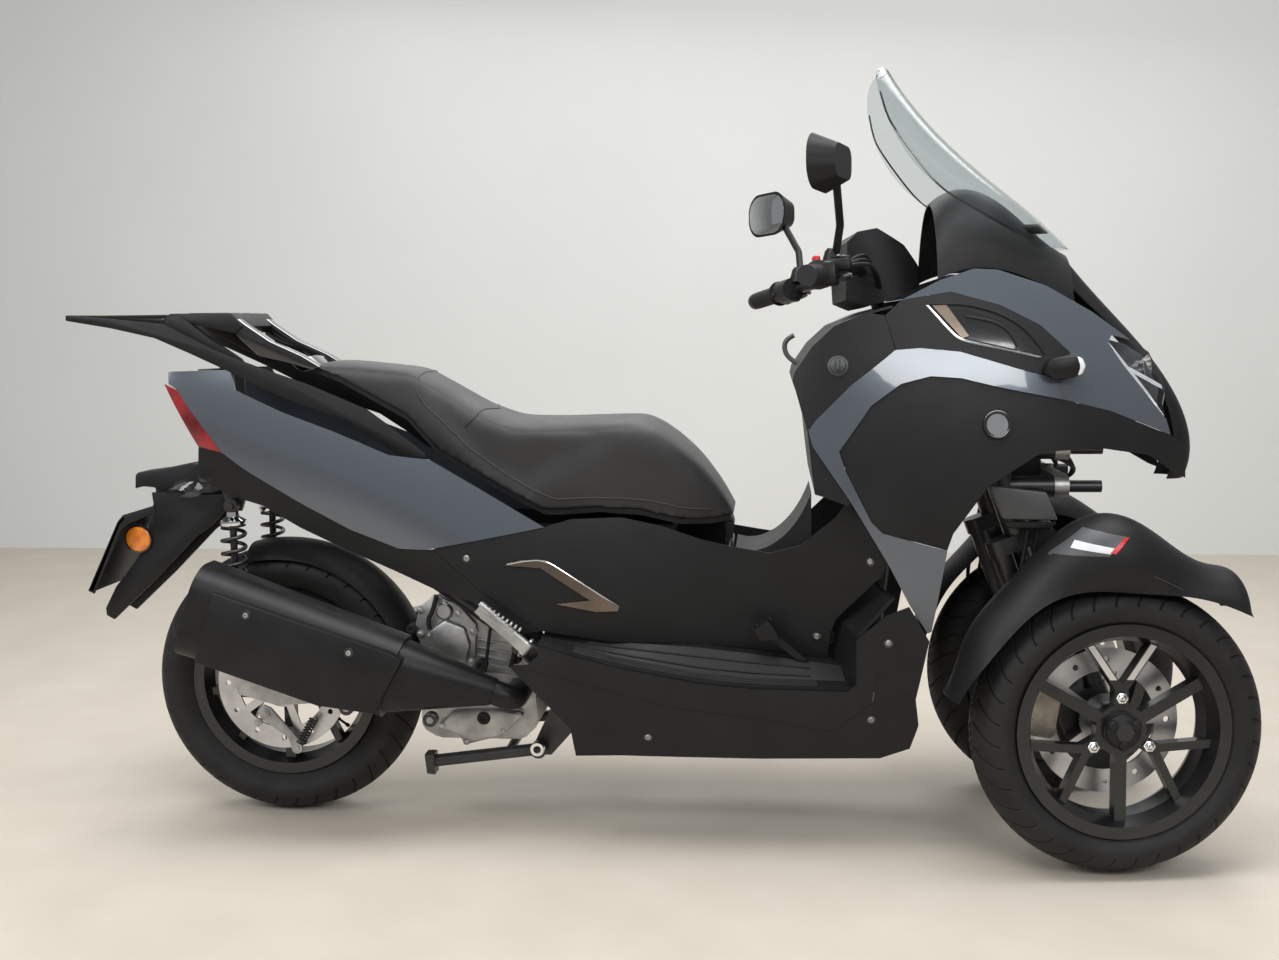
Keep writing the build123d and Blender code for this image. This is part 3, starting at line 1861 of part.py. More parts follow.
with BuildPart() as floor_cross_bars:
    loft(core_sections(skirt_skin))
    with BuildSketch(side_plane(half_limit)):
        for x, z, inner_y in floor_bars:
            with Locations((x, z)):
                Circle(8)
    extrude(amount=2 * half_limit, mode=Mode.INTERSECT)
    mirror(about=Plane.XZ)

# x, height and radius of the bars that reach out to the front bodywork
front_bars = ((1210, 652, 8), (1440, 802, 8), (1566, 994, 6))
rack_post_y = 24.0

with BuildPart() as front_cross_bars:
    loft(core_sections(front_skin))
    with BuildSketch(side_plane(half_limit)):
        for x, z, radius in front_bars:
            with Locations((x, z)):
                Circle(radius)
    extrude(amount=2 * half_limit, mode=Mode.INTERSECT)
    mirror(about=Plane.XZ)

rear_bars = ((60, 636, 7), (1177, 572, 7))

with BuildPart() as rear_cross_bars:
    loft(core_sections(rear_skin))
    with BuildSketch(side_plane(half_limit)):
        for x, z, radius in rear_bars:
            with Locations((x, z)):
                Circle(radius)
    extrude(amount=2 * half_limit, mode=Mode.INTERSECT)
    mirror(about=Plane.XZ)

with BuildPart() as frame:
    with BuildSketch(column_plane(head_low)):
        Circle(head_radius)
    extrude(amount=head_high - head_low)
    for side, name in sides:
        add(
            tube(
                (
                    at(1262, side * 12, 790),
                    at(1205, side * 92, 640),
                    at(1165, side * 112, 262),
                    at(640, side * 118, 236),
                    at(480, side * 120, 400),
                    at(250, side * 118, 560),
                    at(-60, side * 84, 690),
                    at(-150, side * 55, 700),
                ),
                rail,
                (40, 60, 90, 80, 120, 60),
            )
        )
    for x, z, half in ((1165, 262, 112), (640, 236, 118), (562, 317, 119), (-100, 695, 70)):
        with BuildSketch(side_plane(half)):
            with Locations((x, z)):
                Circle(rail - 4)
        extrude(amount=2 * half)
    for side, name in sides:
        with BuildSketch(side_plane(side * (shock_lug_y - 8))):
            with BuildLine():
                Polyline(
                    (shock_top_x - 14, shock_top_z - 12),
                    (shock_top_x + 14, shock_top_z - 12),
                    (shock_top_x + 34, shock_top_z + 46),
                    (shock_top_x - 30, shock_top_z + 50),
                    close=True,
                )
            make_face()
        extrude(amount=-side * 8)
        with BuildSketch(side_plane(side * shock_lug_y)):
            with Locations((shock_top_x, shock_top_z)):
                Circle(7)
        extrude(amount=-side * 28)
    with BuildSketch(side_plane(beam_half)):
        with BuildLine():
            Polyline(*beam_profile, close=True)
        make_face()
    extrude(amount=2 * beam_half)
    with BuildSketch(section_plane(arm_x - seat_gap)):
        with Locations((0, lower_pivot_z), (0, upper_pivot_z)):
            Circle(pivot_radius)
    extrude(amount=arm_depth + 16)
    with BuildSketch(side_plane(6)):
        with BuildLine():
            Polyline(*nose_plate_profile, close=True)
        make_face()
    extrude(amount=12)
    add(stand_bracket.part)
    for side, name in sides:
        with BuildSketch(side_plane(side * 34)):
            with BuildLine():
                Polyline((523.2, 296), (562, 306), (562, 328), (520.9, 324), close=True)
            make_face()
        extrude(amount=side * 8)
    add(
        tube(
            (
                at(seat_hinge[0], -112, 246),
                at(seat_hinge[0], -84, 400),
                at(seat_hinge[0], -60, seat_hinge[1] - 34),
                at(seat_hinge[0], 60, seat_hinge[1] - 34),
                at(seat_hinge[0], 84, 400),
                at(seat_hinge[0], 112, 246),
            ),
            9,
            (40, 30, 30, 40),
        )
    )
    for side, name in sides:
        with BuildSketch(side_plane(side * 30.3)):
            with BuildLine():
                Polyline(
                    (seat_hinge[0] - 6, seat_hinge[1] - 38),
                    (seat_hinge[0] + 6, seat_hinge[1] - 38),
                    (seat_hinge[0] + 8, seat_hinge[1] + 6),
                    (seat_hinge[0] - 8, seat_hinge[1] + 6),
                    close=True,
                )
            make_face()
        extrude(amount=-side * 5)
    with BuildSketch(side_plane(36)):
        with Locations(seat_hinge):
            Circle(5)
    extrude(amount=72)
    with BuildSketch(side_plane(side_stand_y + 16)):
        with Locations((side_stand_x, stand_z + 34)):
            Circle(8)
    extrude(amount=side_stand_y + 16 - 112)
    with BuildSketch(side_plane(124)):
        with Locations((side_stand_x, stand_z + 52)):
            Rectangle(34, 70)
    extrude(amount=12)
    add(floor_cross_bars.part)
    add(front_cross_bars.part)
    add(rear_cross_bars.part)
    with BuildSketch(side_plane(57.5)):
        with Locations((-144, 686)):
            Rectangle(19.4, 44)
    extrude(amount=115)
    for side, name in sides:
        with BuildSketch(side_plane(side * 111)):
            with BuildLine():
                Polyline((404, 446), (444, 420), (444, 485.7), (412, 485.7), close=True)
            make_face()
        extrude(amount=side * 6)
    for side, name in sides:
        with BuildSketch(side_plane(side * rack_post_y)):
            with BuildLine():
                Polyline((-118, 690), (-84, 690), (-90, 926.1), (-116, 937.4), close=True)
            make_face()
        extrude(amount=-side * 8)
        with BuildSketch(side_plane(side * (peg_y - peg_thickness / 2 - 6))):
            with Locations(Pos(*peg_hinge) * Rotation(0, 0, peg_lean)):
                with Locations((14, 0)):
                    Rectangle(40, peg_width + 10)
        extrude(amount=side * 5)
        for end in (-1, 1):
            with BuildSketch(side_plane(side * (peg_y + 6))):
                with Locations(Pos(*peg_hinge) * Rotation(0, 0, peg_lean)):
                    with Locations((10, end * (peg_width / 2 + seat_gap + 2))):
                        Rectangle(24, 4)
            extrude(amount=side * 22)
        with BuildSketch(peg_pin_plane(side, -peg_width / 2 - 4)):
            Circle(peg_pin_radius)
        extrude(amount=peg_width + 8)
        with BuildSketch(side_plane(side * (peg_y - peg_thickness / 2 - 8))):
            with Locations((510, 388)):
                Circle(11)
        extrude(amount=side * 92)
    for x, z, inner_y in floor_bars:
        with BuildSketch(side_plane(inner_y + 5)):
            with Locations((x, (z + 244) / 2)):
                Rectangle(16, z - 244)
        extrude(amount=10)
        with BuildSketch(side_plane(5 - inner_y)):
            with Locations((x, (z + 244) / 2)):
                Rectangle(16, z - 244)
        extrude(amount=10)
    with BuildSketch(column_plane(head_low)):
        Circle(collar_radius + 5)
    extrude(amount=-44, mode=Mode.SUBTRACT)
    with BuildSketch(column_plane(head_low - 40)):
        Circle(column_stem_radius + running_gap)
    extrude(amount=head_high - head_low + 80, mode=Mode.SUBTRACT)
write(frame.part, "frame")
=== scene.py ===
import bpy
import bmesh
import json
import math
from mathutils import Matrix, Vector
from mathutils.bvhtree import BVHTree


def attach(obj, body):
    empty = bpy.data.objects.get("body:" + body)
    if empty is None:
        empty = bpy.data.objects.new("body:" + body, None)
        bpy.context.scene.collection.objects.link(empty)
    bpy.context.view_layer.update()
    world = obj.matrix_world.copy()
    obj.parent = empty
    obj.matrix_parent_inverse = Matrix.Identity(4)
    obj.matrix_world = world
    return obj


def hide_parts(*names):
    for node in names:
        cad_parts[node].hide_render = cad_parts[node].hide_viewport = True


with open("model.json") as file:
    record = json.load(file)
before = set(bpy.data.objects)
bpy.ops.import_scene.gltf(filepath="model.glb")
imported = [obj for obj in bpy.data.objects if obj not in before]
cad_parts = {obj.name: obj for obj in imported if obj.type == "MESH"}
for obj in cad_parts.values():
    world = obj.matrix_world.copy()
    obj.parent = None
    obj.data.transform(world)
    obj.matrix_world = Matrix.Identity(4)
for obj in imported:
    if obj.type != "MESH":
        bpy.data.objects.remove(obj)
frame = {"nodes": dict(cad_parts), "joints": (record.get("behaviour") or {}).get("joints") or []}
nodes = frame["nodes"]
joints = {j["name"]: j for j in frame["joints"]}
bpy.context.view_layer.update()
print("frame loaded", len(nodes), "nodes")

axleX = joints["rear_wheel_spin"]["pos_m"][0]
restSteer, caster = 8, 20  # degrees, as the bar and the forks stand at rest
cameraSetup = {"place": (axleX + 0.9876, -2.727, 1.0003), "yaw": -5.5, "pitch": 6.59, "roll": -0.59, "lens": 38.975}


def axesOf(side, lift, ahead):
    return Matrix((side, lift, ahead)).transposed().to_4x4()


def makeCamera(setup):
    yaw, pitch, roll = (math.radians(setup[k]) for k in ("yaw", "pitch", "roll"))
    ahead = Vector((math.sin(yaw) * math.cos(pitch), math.cos(yaw) * math.cos(pitch), -math.sin(pitch)))
    right = Vector((math.cos(yaw), -math.sin(yaw), 0))
    up = right.cross(ahead)
    side = right * math.cos(roll) + up * math.sin(roll)
    top = up * math.cos(roll) - right * math.sin(roll)
    turn = axesOf(side, top, -ahead)
    data = bpy.data.cameras.new("studioCamera")
    data.lens = setup["lens"]
    data.sensor_width = 36
    data.clip_end = 60
    camera = bpy.data.objects.new("studioCamera", data)
    camera.matrix_world = Matrix.Translation(setup["place"]) @ turn
    bpy.context.scene.collection.objects.link(camera)
    bpy.context.scene.camera = camera


makeCamera(cameraSetup)
bpy.context.scene.view_settings.view_transform = "Standard"


def newMaterial(name, colour, rough, metal=0.0, **sockets):
    mat = bpy.data.materials.new(name)
    mat.use_nodes = True
    shader = mat.node_tree.nodes["Principled BSDF"]
    shader.inputs["Base Color"].default_value = (*colour, 1)
    shader.inputs["Roughness"].default_value = rough
    shader.inputs["Metallic"].default_value = metal
    for key, value in sockets.items():
        shader.inputs[key.replace("_", " ")].default_value = value
    return mat


def patternPlace(mat, scale=(1, 1, 1), centre=(0, 0, 0), turn=(0, 0, 0)):
    tree = mat.node_tree
    where = tree.nodes.new("ShaderNodeTexCoord")
    place = tree.nodes.new("ShaderNodeMapping")
    place.vector_type = "TEXTURE"
    place.inputs["Location"].default_value = centre
    place.inputs["Rotation"].default_value = turn
    place.inputs["Scale"].default_value = scale
    tree.links.new(where.outputs["Object"], place.inputs["Vector"])
    return place.outputs["Vector"]


def mottle(mat, light, dark, scale, low=0.35, high=0.65, stretch=(1, 1, 1)):
    tree = mat.node_tree
    noise = tree.nodes.new("ShaderNodeTexNoise")
    noise.inputs["Scale"].default_value = scale
    noise.inputs["Detail"].default_value = 4
    tree.links.new(patternPlace(mat, stretch), noise.inputs["Vector"])
    ramp = tree.nodes.new("ShaderNodeValToRGB")
    ramp.color_ramp.elements[0].position = low
    ramp.color_ramp.elements[0].color = (*dark, 1)
    ramp.color_ramp.elements[1].position = high
    ramp.color_ramp.elements[1].color = (*light, 1)
    tree.links.new(noise.outputs["Fac"], ramp.inputs["Fac"])
    tree.links.new(ramp.outputs["Color"], tree.nodes["Principled BSDF"].inputs["Base Color"])
    return mat


def shine(mat, scale, low, high):
    tree = mat.node_tree
    noise = tree.nodes.new("ShaderNodeTexNoise")
    noise.inputs["Scale"].default_value = scale
    noise.inputs["Detail"].default_value = 5
    tree.links.new(patternPlace(mat), noise.inputs["Vector"])
    spread = tree.nodes.new("ShaderNodeMapRange")
    spread.inputs["To Min"].default_value = low
    spread.inputs["To Max"].default_value = high
    tree.links.new(noise.outputs["Fac"], spread.inputs["Value"])
    tree.links.new(spread.outputs["Result"], tree.nodes["Principled BSDF"].inputs["Roughness"])
    return mat


def grain(mat, scale, depth, kind="noise", stretch=(1, 1, 1), turn=(0, 0, 0)):
    tree = mat.node_tree
    if kind == "cells":
        relief = tree.nodes.new("ShaderNodeTexVoronoi")
        relief.feature = "SMOOTH_F1"
        height = relief.outputs["Distance"]
    else:
        relief = tree.nodes.new("ShaderNodeTexNoise")
        relief.inputs["Detail"].default_value = 3
        height = relief.outputs["Fac"]
    relief.inputs["Scale"].default_value = scale
    tree.links.new(patternPlace(mat, stretch, turn=turn), relief.inputs["Vector"])
    bump = tree.nodes.new("ShaderNodeBump")
    bump.inputs["Strength"].default_value = 1
    bump.inputs["Distance"].default_value = depth
    tree.links.new(height, bump.inputs["Height"])
    tree.links.new(bump.outputs["Normal"], tree.nodes["Principled BSDF"].inputs["Normal"])
    return mat


def turnedRings(mat, joint, scale, depth):
    tree = mat.node_tree  # fine rings about a wheel's own axle
    origin, axis = Vector(joints[joint]["pos_m"]), Vector(joints[joint]["axis"])
    turn = axis.to_track_quat("Z", "Y").to_euler()
    rings = tree.nodes.new("ShaderNodeTexWave")
    rings.wave_type = "RINGS"
    rings.rings_direction = "Z"
    rings.inputs["Scale"].default_value = scale
    rings.inputs["Distortion"].default_value = 0.6
    rings.inputs["Detail"].default_value = 2
    tree.links.new(patternPlace(mat, centre=origin, turn=turn), rings.inputs["Vector"])
    bump = tree.nodes.new("ShaderNodeBump")
    bump.inputs["Distance"].default_value = depth
    tree.links.new(rings.outputs["Fac"], bump.inputs["Height"])
    tree.links.new(bump.outputs["Normal"], tree.nodes["Principled BSDF"].inputs["Normal"])
    return mat


bodyPaint = newMaterial("slatePaint", (0.086, 0.100, 0.121), 0.24, 0.35, Coat_Weight=1.0, Coat_Roughness=0.04)
mottle(bodyPaint, (0.093, 0.108, 0.130), (0.078, 0.091, 0.111), 1400, 0.3, 0.7)
moulded = newMaterial("mouldedPlastic", (0.011, 0.0112, 0.012), 0.52, Specular_IOR_Level=0.28)
grain(shine(mottle(moulded, (0.0100, 0.0103, 0.0110), (0.0072, 0.0074, 0.0080), 9), 30, 0.44, 0.58), 1500, 0.00012)
satinBlack = newMaterial("satinBlack", (0.007, 0.007, 0.0075), 0.42, Specular_IOR_Level=0.3)
grain(shine(mottle(satinBlack, (0.009, 0.009, 0.0095), (0.005, 0.005, 0.0055), 12), 25, 0.36, 0.5), 900, 0.00006)
chassisBlack = newMaterial("chassisBlack", (0.010, 0.010, 0.011), 0.42, Coat_Weight=0.3, Coat_Roughness=0.25)
grain(mottle(chassisBlack, (0.014, 0.014, 0.015), (0.007, 0.007, 0.008), 18), 500, 0.0001)
wheelBlack = newMaterial("wheelBlack", (0.006, 0.006, 0.0065), 0.32, Coat_Weight=0.3, Coat_Roughness=0.12)
grain(mottle(wheelBlack, (0.0075, 0.0075, 0.008), (0.0045, 0.0045, 0.005), 22), 700, 0.00004)
rubber = newMaterial("tyreRubber", (0.013, 0.013, 0.0135), 0.66, Specular_IOR_Level=0.35)
grain(shine(mottle(rubber, (0.0145, 0.0142, 0.0140), (0.0085, 0.0085, 0.0088), 14), 40, 0.56, 0.74), 1100, 0.00015)
castAlloy = newMaterial("castAlloy", (0.42, 0.42, 0.41), 0.42, 0.9)
grain(shine(mottle(castAlloy, (0.50, 0.50, 0.49), (0.30, 0.30, 0.30), 26), 60, 0.34, 0.55), 420, 0.00025)
chrome = newMaterial("brightPlate", (0.75, 0.76, 0.78), 0.08, 1.0)
shine(mottle(chrome, (0.80, 0.81, 0.82), (0.68, 0.69, 0.71), 30), 40, 0.05, 0.14)
caliperGold = newMaterial("caliperAlloy", (0.30, 0.27, 0.22), 0.4, 0.85)
grain(shine(mottle(caliperGold, (0.36, 0.33, 0.27), (0.22, 0.20, 0.17), 40), 60, 0.32, 0.5), 500, 0.0002)
bronze = newMaterial("bronzeTrim", (0.17, 0.135, 0.11), 0.3, 0.85)
grain(
    shine(mottle(bronze, (0.20, 0.16, 0.13), (0.14, 0.11, 0.09), 12), 30, 0.24, 0.38), 900, 0.00005,
    stretch=(12, 1, 1),
)
vinyl = newMaterial("seatVinyl", (0.013, 0.0128, 0.0132), 0.55, Sheen_Weight=0.06, Sheen_Roughness=0.5)
grain(
    shine(mottle(vinyl, (0.0155, 0.0150, 0.0153), (0.0105, 0.0102, 0.0105), 8), 20, 0.44, 0.58), 900, 0.00035,
    "cells",
)
redLens = newMaterial("redLens", (0.22, 0.006, 0.010), 0.12, Coat_Weight=1.0, Coat_Roughness=0.03)
grain(mottle(redLens, (0.34, 0.010, 0.014), (0.10, 0.004, 0.006), 14), 260, 0.0003)
clearLens = newMaterial("clearLens", (0.92, 0.94, 0.95), 0.03, Transmission_Weight=1.0, IOR=1.3)
shine(clearLens, 30, 0.02, 0.05)
screenClear = newMaterial("screenClear", (0.74, 0.78, 0.79), 0.02, Transmission_Weight=1.0, IOR=1.08)
shine(screenClear, 14, 0.01, 0.04)
discSteel = {}
for jointName in ("front_wheel_right_spin", "front_wheel_left_spin", "rear_wheel_spin"):
    steel = newMaterial("discSteel_" + jointName, (0.55, 0.55, 0.56), 0.3, 1.0)
    mottle(steel, (0.62, 0.62, 0.63), (0.46, 0.46, 0.47), 20)
    discSteel[jointName] = turnedRings(steel, jointName, 220, 0.00006)

finishes = {
    "tyre": rubber, "wheel_black": wheelBlack, "frame_black": chassisBlack, "caliper_alloy": caliperGold,
    "matte_black": moulded, "cast_alloy": castAlloy, "shock_steel": chassisBlack, "muffler_black": satinBlack,
    "body_paint": bodyPaint, "red_lens": redLens, "bronze_trim": bronze, "clear_lens": clearLens,
    "clear_screen": screenClear, "seat_vinyl": vinyl, "rack_grey": satinBlack,
}
for nodeName, node in nodes.items():
    for spot in node.material_slots:
        slotName = spot.material.name.split(".")[0]
        if slotName == "disc_steel":
            which = "front_wheel_right_spin" if "right" in nodeName else "front_wheel_left_spin"
            spot.material = discSteel["rear_wheel_spin" if "rear" in nodeName else which]
        else:
            spot.material = finishes[slotName]
print("finishes laid on", len(nodes), "nodes")


def at(x, y, z):
    return Vector((x / 1000 + axleX, y / 1000, z / 1000))  # mm forward of the rear axle, to the left, up


def inMm(spot):  # the reverse of at
    return (spot.x - axleX) * 1000, spot.y * 1000, spot.z * 1000


def aimed(origin, direction, up=None):
    direction = Vector(direction).normalized()
    side = Vector(up if up is not None else (0, 0, 1)).cross(direction)
    if side.length < 1e-4:
        side = Vector((1, 0, 0)).cross(direction)
    side.normalize()
    lift = direction.cross(side)
    return Matrix.Translation(origin) @ axesOf(side, lift, direction)


def addShape(target, source, place):
    bmesh.ops.remove_doubles(source, verts=source.verts, dist=1e-6)
    bmesh.ops.recalc_face_normals(source, faces=source.faces)
    bmesh.ops.transform(source, matrix=place, verts=source.verts)
    work = bpy.data.meshes.new("work")
    source.to_mesh(work)
    source.free()
    target.from_mesh(work)
    bpy.data.meshes.remove(work)


def lathe(target, profile, place, steps=28):
    bm = bmesh.new()  # profile is (radius, height) in mm about the place's own z
    spots = [bm.verts.new((r / 1000, 0, h / 1000)) for r, h in profile]
    edges = [bm.edges.new(pair) for pair in zip(spots, spots[1:])]
    bmesh.ops.spin(
        bm, geom=spots + edges, cent=(0, 0, 0), axis=(0, 0, 1), angle=math.tau, steps=steps, use_merge=True,
    )
    addShape(target, bm, place)


def block(target, size, place, soften=1.5, pinch=1.0):
    bm = bmesh.new()  # a rounded block, its far face pinched in
    bmesh.ops.create_cube(bm, size=1)
    bmesh.ops.scale(bm, verts=bm.verts, vec=[s / 1000 for s in size])
    bmesh.ops.scale(bm, verts=[v for v in bm.verts if v.co.z > 0], vec=(pinch, pinch, 1))
    bmesh.ops.bevel(
        bm, geom=bm.edges[:], offset=soften / 1000, affect="EDGES", segments=2, profile=0.5, material=-1,
    )
    addShape(target, bm, place)


rearAxle = Matrix.Translation((axleX, 0, 0))
weldReach = 2e-5  # the CAD nodes' loose triangles are joined within this, in metres


def plate(target, corners, low, high, place=rearAxle, soften=0.8):
    bm = bmesh.new()  # corners (x, z) in mm, as thick as from low to high along y
    spots = [bm.verts.new((x / 1000, low / 1000, z / 1000)) for x, z in corners]
    face = bm.faces.new(spots)
    grown = bmesh.ops.extrude_face_region(bm, geom=[face])
    bmesh.ops.translate(
        bm, verts=[g for g in grown["geom"] if isinstance(g, bmesh.types.BMVert)], vec=(0, (high - low) / 1000, 0),
    )
    bmesh.ops.recalc_face_normals(bm, faces=bm.faces)
    bmesh.ops.bevel(
        bm, geom=bm.edges[:], offset=soften / 1000, affect="EDGES", segments=2, profile=0.5, material=-1,
    )
    addShape(target, bm, place)


def sidePlate(target, corners, side, inner, outer, soften):
    low, high = sorted((side * inner, side * outer))
    plate(target, corners, low, high, soften=soften)


def hose(target, points, radius, sides=3):
    curve = bpy.data.curves.new("work", "CURVE")
    curve.dimensions = "3D"
    curve.bevel_depth = radius / 1000
    curve.bevel_resolution = sides
    curve.resolution_u = 8
    curve.use_fill_caps = True
    line = curve.splines.new("NURBS")
    line.points.add(len(points) - 1)
    for spot, point in zip(line.points, points):
        spot.co = (*at(*point), 1)
    line.order_u = 3
    line.use_endpoint_u = True
    holder = bpy.data.objects.new("work", curve)
    shape = bpy.data.meshes.new_from_object(holder)
    bm = bmesh.new()
    bm.from_mesh(shape)
    addShape(target, bm, Matrix.Identity(4))
    bpy.data.objects.remove(holder)
    bpy.data.meshes.remove(shape)


def coil(target, place, radius, wire, low, high, turns):
    bm = bmesh.new()
    bmesh.ops.create_circle(bm, segments=10, radius=wire / 1000)
    bmesh.ops.rotate(bm, verts=bm.verts, cent=(0, 0, 0), matrix=Matrix.Rotation(math.radians(90), 3, "X"))
    bmesh.ops.translate(bm, verts=bm.verts, vec=(radius / 1000, 0, low / 1000))
    steps = int(turns * 26)
    rise = (high - low) / 1000 / steps
    bmesh.ops.spin(
        bm, geom=bm.verts[:] + bm.edges[:], cent=(0, 0, 0), axis=(0, 0, 1), dvec=(0, 0, rise),
        angle=math.tau * turns, steps=steps,
    )
    bmesh.ops.holes_fill(bm, edges=[e for e in bm.edges if e.is_boundary], sides=12)
    addShape(target, bm, place)


def finishPiece(name, bm, material, body, sharp=38):
    bmesh.ops.dissolve_degenerate(bm, edges=bm.edges, dist=1e-7)
    for face in bm.faces:
        face.smooth = True
    for edge in bm.edges:
        if len(edge.link_faces) == 2:
            edge.smooth = edge.calc_face_angle(0) < math.radians(sharp)
    mesh = bpy.data.meshes.new(name)
    bm.to_mesh(mesh)
    bm.free()
    mesh.materials.append(material)
    piece = bpy.data.objects.new(name, mesh)
    bpy.context.scene.collection.objects.link(piece)
    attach(piece, body)
    return piece


def skinOf(nodeName):
    mesh = nodes[nodeName].data
    return BVHTree.FromPolygons([v.co for v in mesh.vertices], [p.vertices[:] for p in mesh.polygons])


skins = {}


def onSkin(nodeName, x, z, side=-1):
    if nodeName not in skins:
        skins[nodeName] = skinOf(nodeName)
    start = at(x, side * 600, z)
    spot, normal = skins[nodeName].ray_cast(start, Vector((0, -side, 0)))[:2]
    if spot is None:
        spot, normal = skins[nodeName].find_nearest(at(x, side * 220, z))[:2]
    if normal.y * side < 0:
        normal = -normal
    return spot, normal


def cutAway(bm, spot, outward):
    parts = bm.verts[:] + bm.edges[:] + bm.faces[:]
    bmesh.ops.bisect_plane(bm, geom=parts, dist=1e-7, plane_co=spot, plane_no=outward, clear_outer=True)


def skinPatch(target, nodeName, corners, side=-1, lift=0.4, thick=0.8, facing=0.2):
    bm = bmesh.new()  # the outer skin inside a convex outline, raised a little
    bm.from_mesh(nodes[nodeName].data)
    bmesh.ops.remove_doubles(bm, verts=bm.verts, dist=weldReach)
    middle = sum((at(x, 0, z) for x, z in corners), Vector()) / len(corners)
    for here, there in zip(corners, corners[1:] + corners[:1]):
        a, b = at(here[0], 0, here[1]), at(there[0], 0, there[1])
        out = Vector((b.z - a.z, 0, a.x - b.x)).normalized()
        if out.dot(middle - a) > 0:
            out = -out
        cutAway(bm, a, out)
    bm.normal_update()
    lost = [f for f in bm.faces if f.normal.y * side < facing or f.calc_center_median().y * side < 0]
    bmesh.ops.delete(bm, geom=lost, context="FACES")
    if not bm.faces:
        bm.free()
        raise ValueError(f"{nodeName} has no skin inside {corners}")
    bm.normal_update()
    for spot in bm.verts:
        spot.co += spot.normal * (lift / 1000)
    bmesh.ops.solidify(bm, geom=bm.faces[:], thickness=thick / 1000)
    work = bpy.data.meshes.new("work")
    bm.to_mesh(work)
    bm.free()
    target.from_mesh(work)
    bpy.data.meshes.remove(work)


def wheelPlace(jointName, outward):
    joint = joints[jointName]
    axis = Vector(joint["axis"]) * outward
    rest = Vector((0, 0, 1))
    if "front" in jointName:
        lean = math.radians(caster)
        pivot = Vector((-math.sin(lean), 0, math.cos(lean)))
        rest = Matrix.Rotation(math.radians(restSteer), 3, pivot) @ rest
    up = (rest - axis * rest.dot(axis)).normalized()
    side = up.cross(axis)
    return Matrix.Translation(joint["pos_m"]) @ axesOf(side, up, axis)


tyreBuild = {
    "steps": 288, "every": 8, "cut": 3.2, "inset": 0.6, "twist": 0.13, "reach": 36, "bead": 178.6, "flange": 192.5,
    "rimHalf": 44.5,
}
tyreList = (
    ("front_tyre_right", "front_wheel_right_spin", "front_wheel_right", 261.8, 120, -1),
    ("front_tyre_left", "front_wheel_left_spin", "front_wheel_left", 261.8, 120, 1),
    ("rear_tyre", "rear_wheel_spin", "rear_wheel", 275.8, 140, -1),
)


def tyreSection(radius, width, build):
    half, shoulder, drop = width / 2, 0.4 * width, 0.14 * width
    side = []
    ends = (
        (build["flange"], build["rimHalf"]), (build["bead"] + 0.5 * (radius - build["bead"]), half),
        (radius - drop, shoulder),
    )
    for step in range(11):
        t = step / 10
        weights = ((1 - t) * (1 - 2 * t), 4 * t * (1 - t), t * (2 * t - 1))
        r, h = (sum(w * e[i] for w, e in zip(weights, ends)) for i in (0, 1))
        side.append((r, h - (0.9 if step in (2, 6) else 0)))  # two fine rings in the side wall
    crown = [(radius - drop * (k / 8) ** 2, shoulder * k / 8) for k in range(7, -1, -1)]
    half = [(build["bead"], build["rimHalf"])] + side + crown
    return half + [(r, -h) for r, h in half[-2::-1]]


def makeTyre(nodeName, jointName, body, radius, width, outward, build):
    bm = bmesh.new()
    section = tyreSection(radius, width, build)
    spots = [bm.verts.new((r / 1000, 0, h / 1000)) for r, h in section]
    edges = [bm.edges.new(pair) for pair in zip(spots, spots[1:] + spots[:1])]
    bmesh.ops.spin(
        bm, geom=spots + edges, cent=(0, 0, 0), axis=(0, 0, 1), angle=math.tau, steps=build["steps"],
        use_merge=True,
    )
    bmesh.ops.remove_doubles(bm, verts=bm.verts, dist=1e-6)
    bmesh.ops.recalc_face_normals(bm, faces=bm.faces)
    shoulder = 0.4 * width / 1000
    grooves = []
    for face in bm.faces:
        mid = face.calc_center_median()
        reach = abs(mid.z) / shoulder
        lag = build["every"] // 2 if mid.z > 0 else 0  # the two sides' grooves are staggered
        step = round(math.atan2(mid.y, mid.x) / math.tau * build["steps"] - 0.5) + lag
        if math.hypot(mid.x, mid.y) * 1000 < radius - build["reach"]:
            continue
        if step % build["every"] == 0 and reach > 0.2 or reach < 0.07 and step % 3:
            grooves.append(face)
    bmesh.ops.inset_region(bm, faces=grooves, thickness=build["inset"] / 1000, depth=0, use_even_offset=True)
    bm.normal_update()
    inward = {v: v.normal.copy() for face in grooves for v in face.verts}
    for spot, normal in inward.items():
        spot.co -= normal * (build["cut"] / 1000)
    for spot in bm.verts:
        reach = min(1.3, abs(spot.co.z) / shoulder)
        spot.co.xy = (Matrix.Rotation(build["twist"] * reach ** 1.4, 3, "Z") @ spot.co).xy
    bmesh.ops.transform(bm, matrix=wheelPlace(jointName, outward), verts=bm.verts)
    tyre = finishPiece(nodeName + "_treaded", bm, rubber, body, 30)
    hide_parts(nodeName)


for row in tyreList:
    makeTyre(*row, tyreBuild)
print("tyres treaded")

# the turned entry is the window above the hub whose spoke faces are made silver: part turned finish, part painted
# highlight
wheelTrim = {"face": 34.25, "hub": 42.0, "nutCircle": 58.0, "turned": (0.088, 0.158, 0.095)}


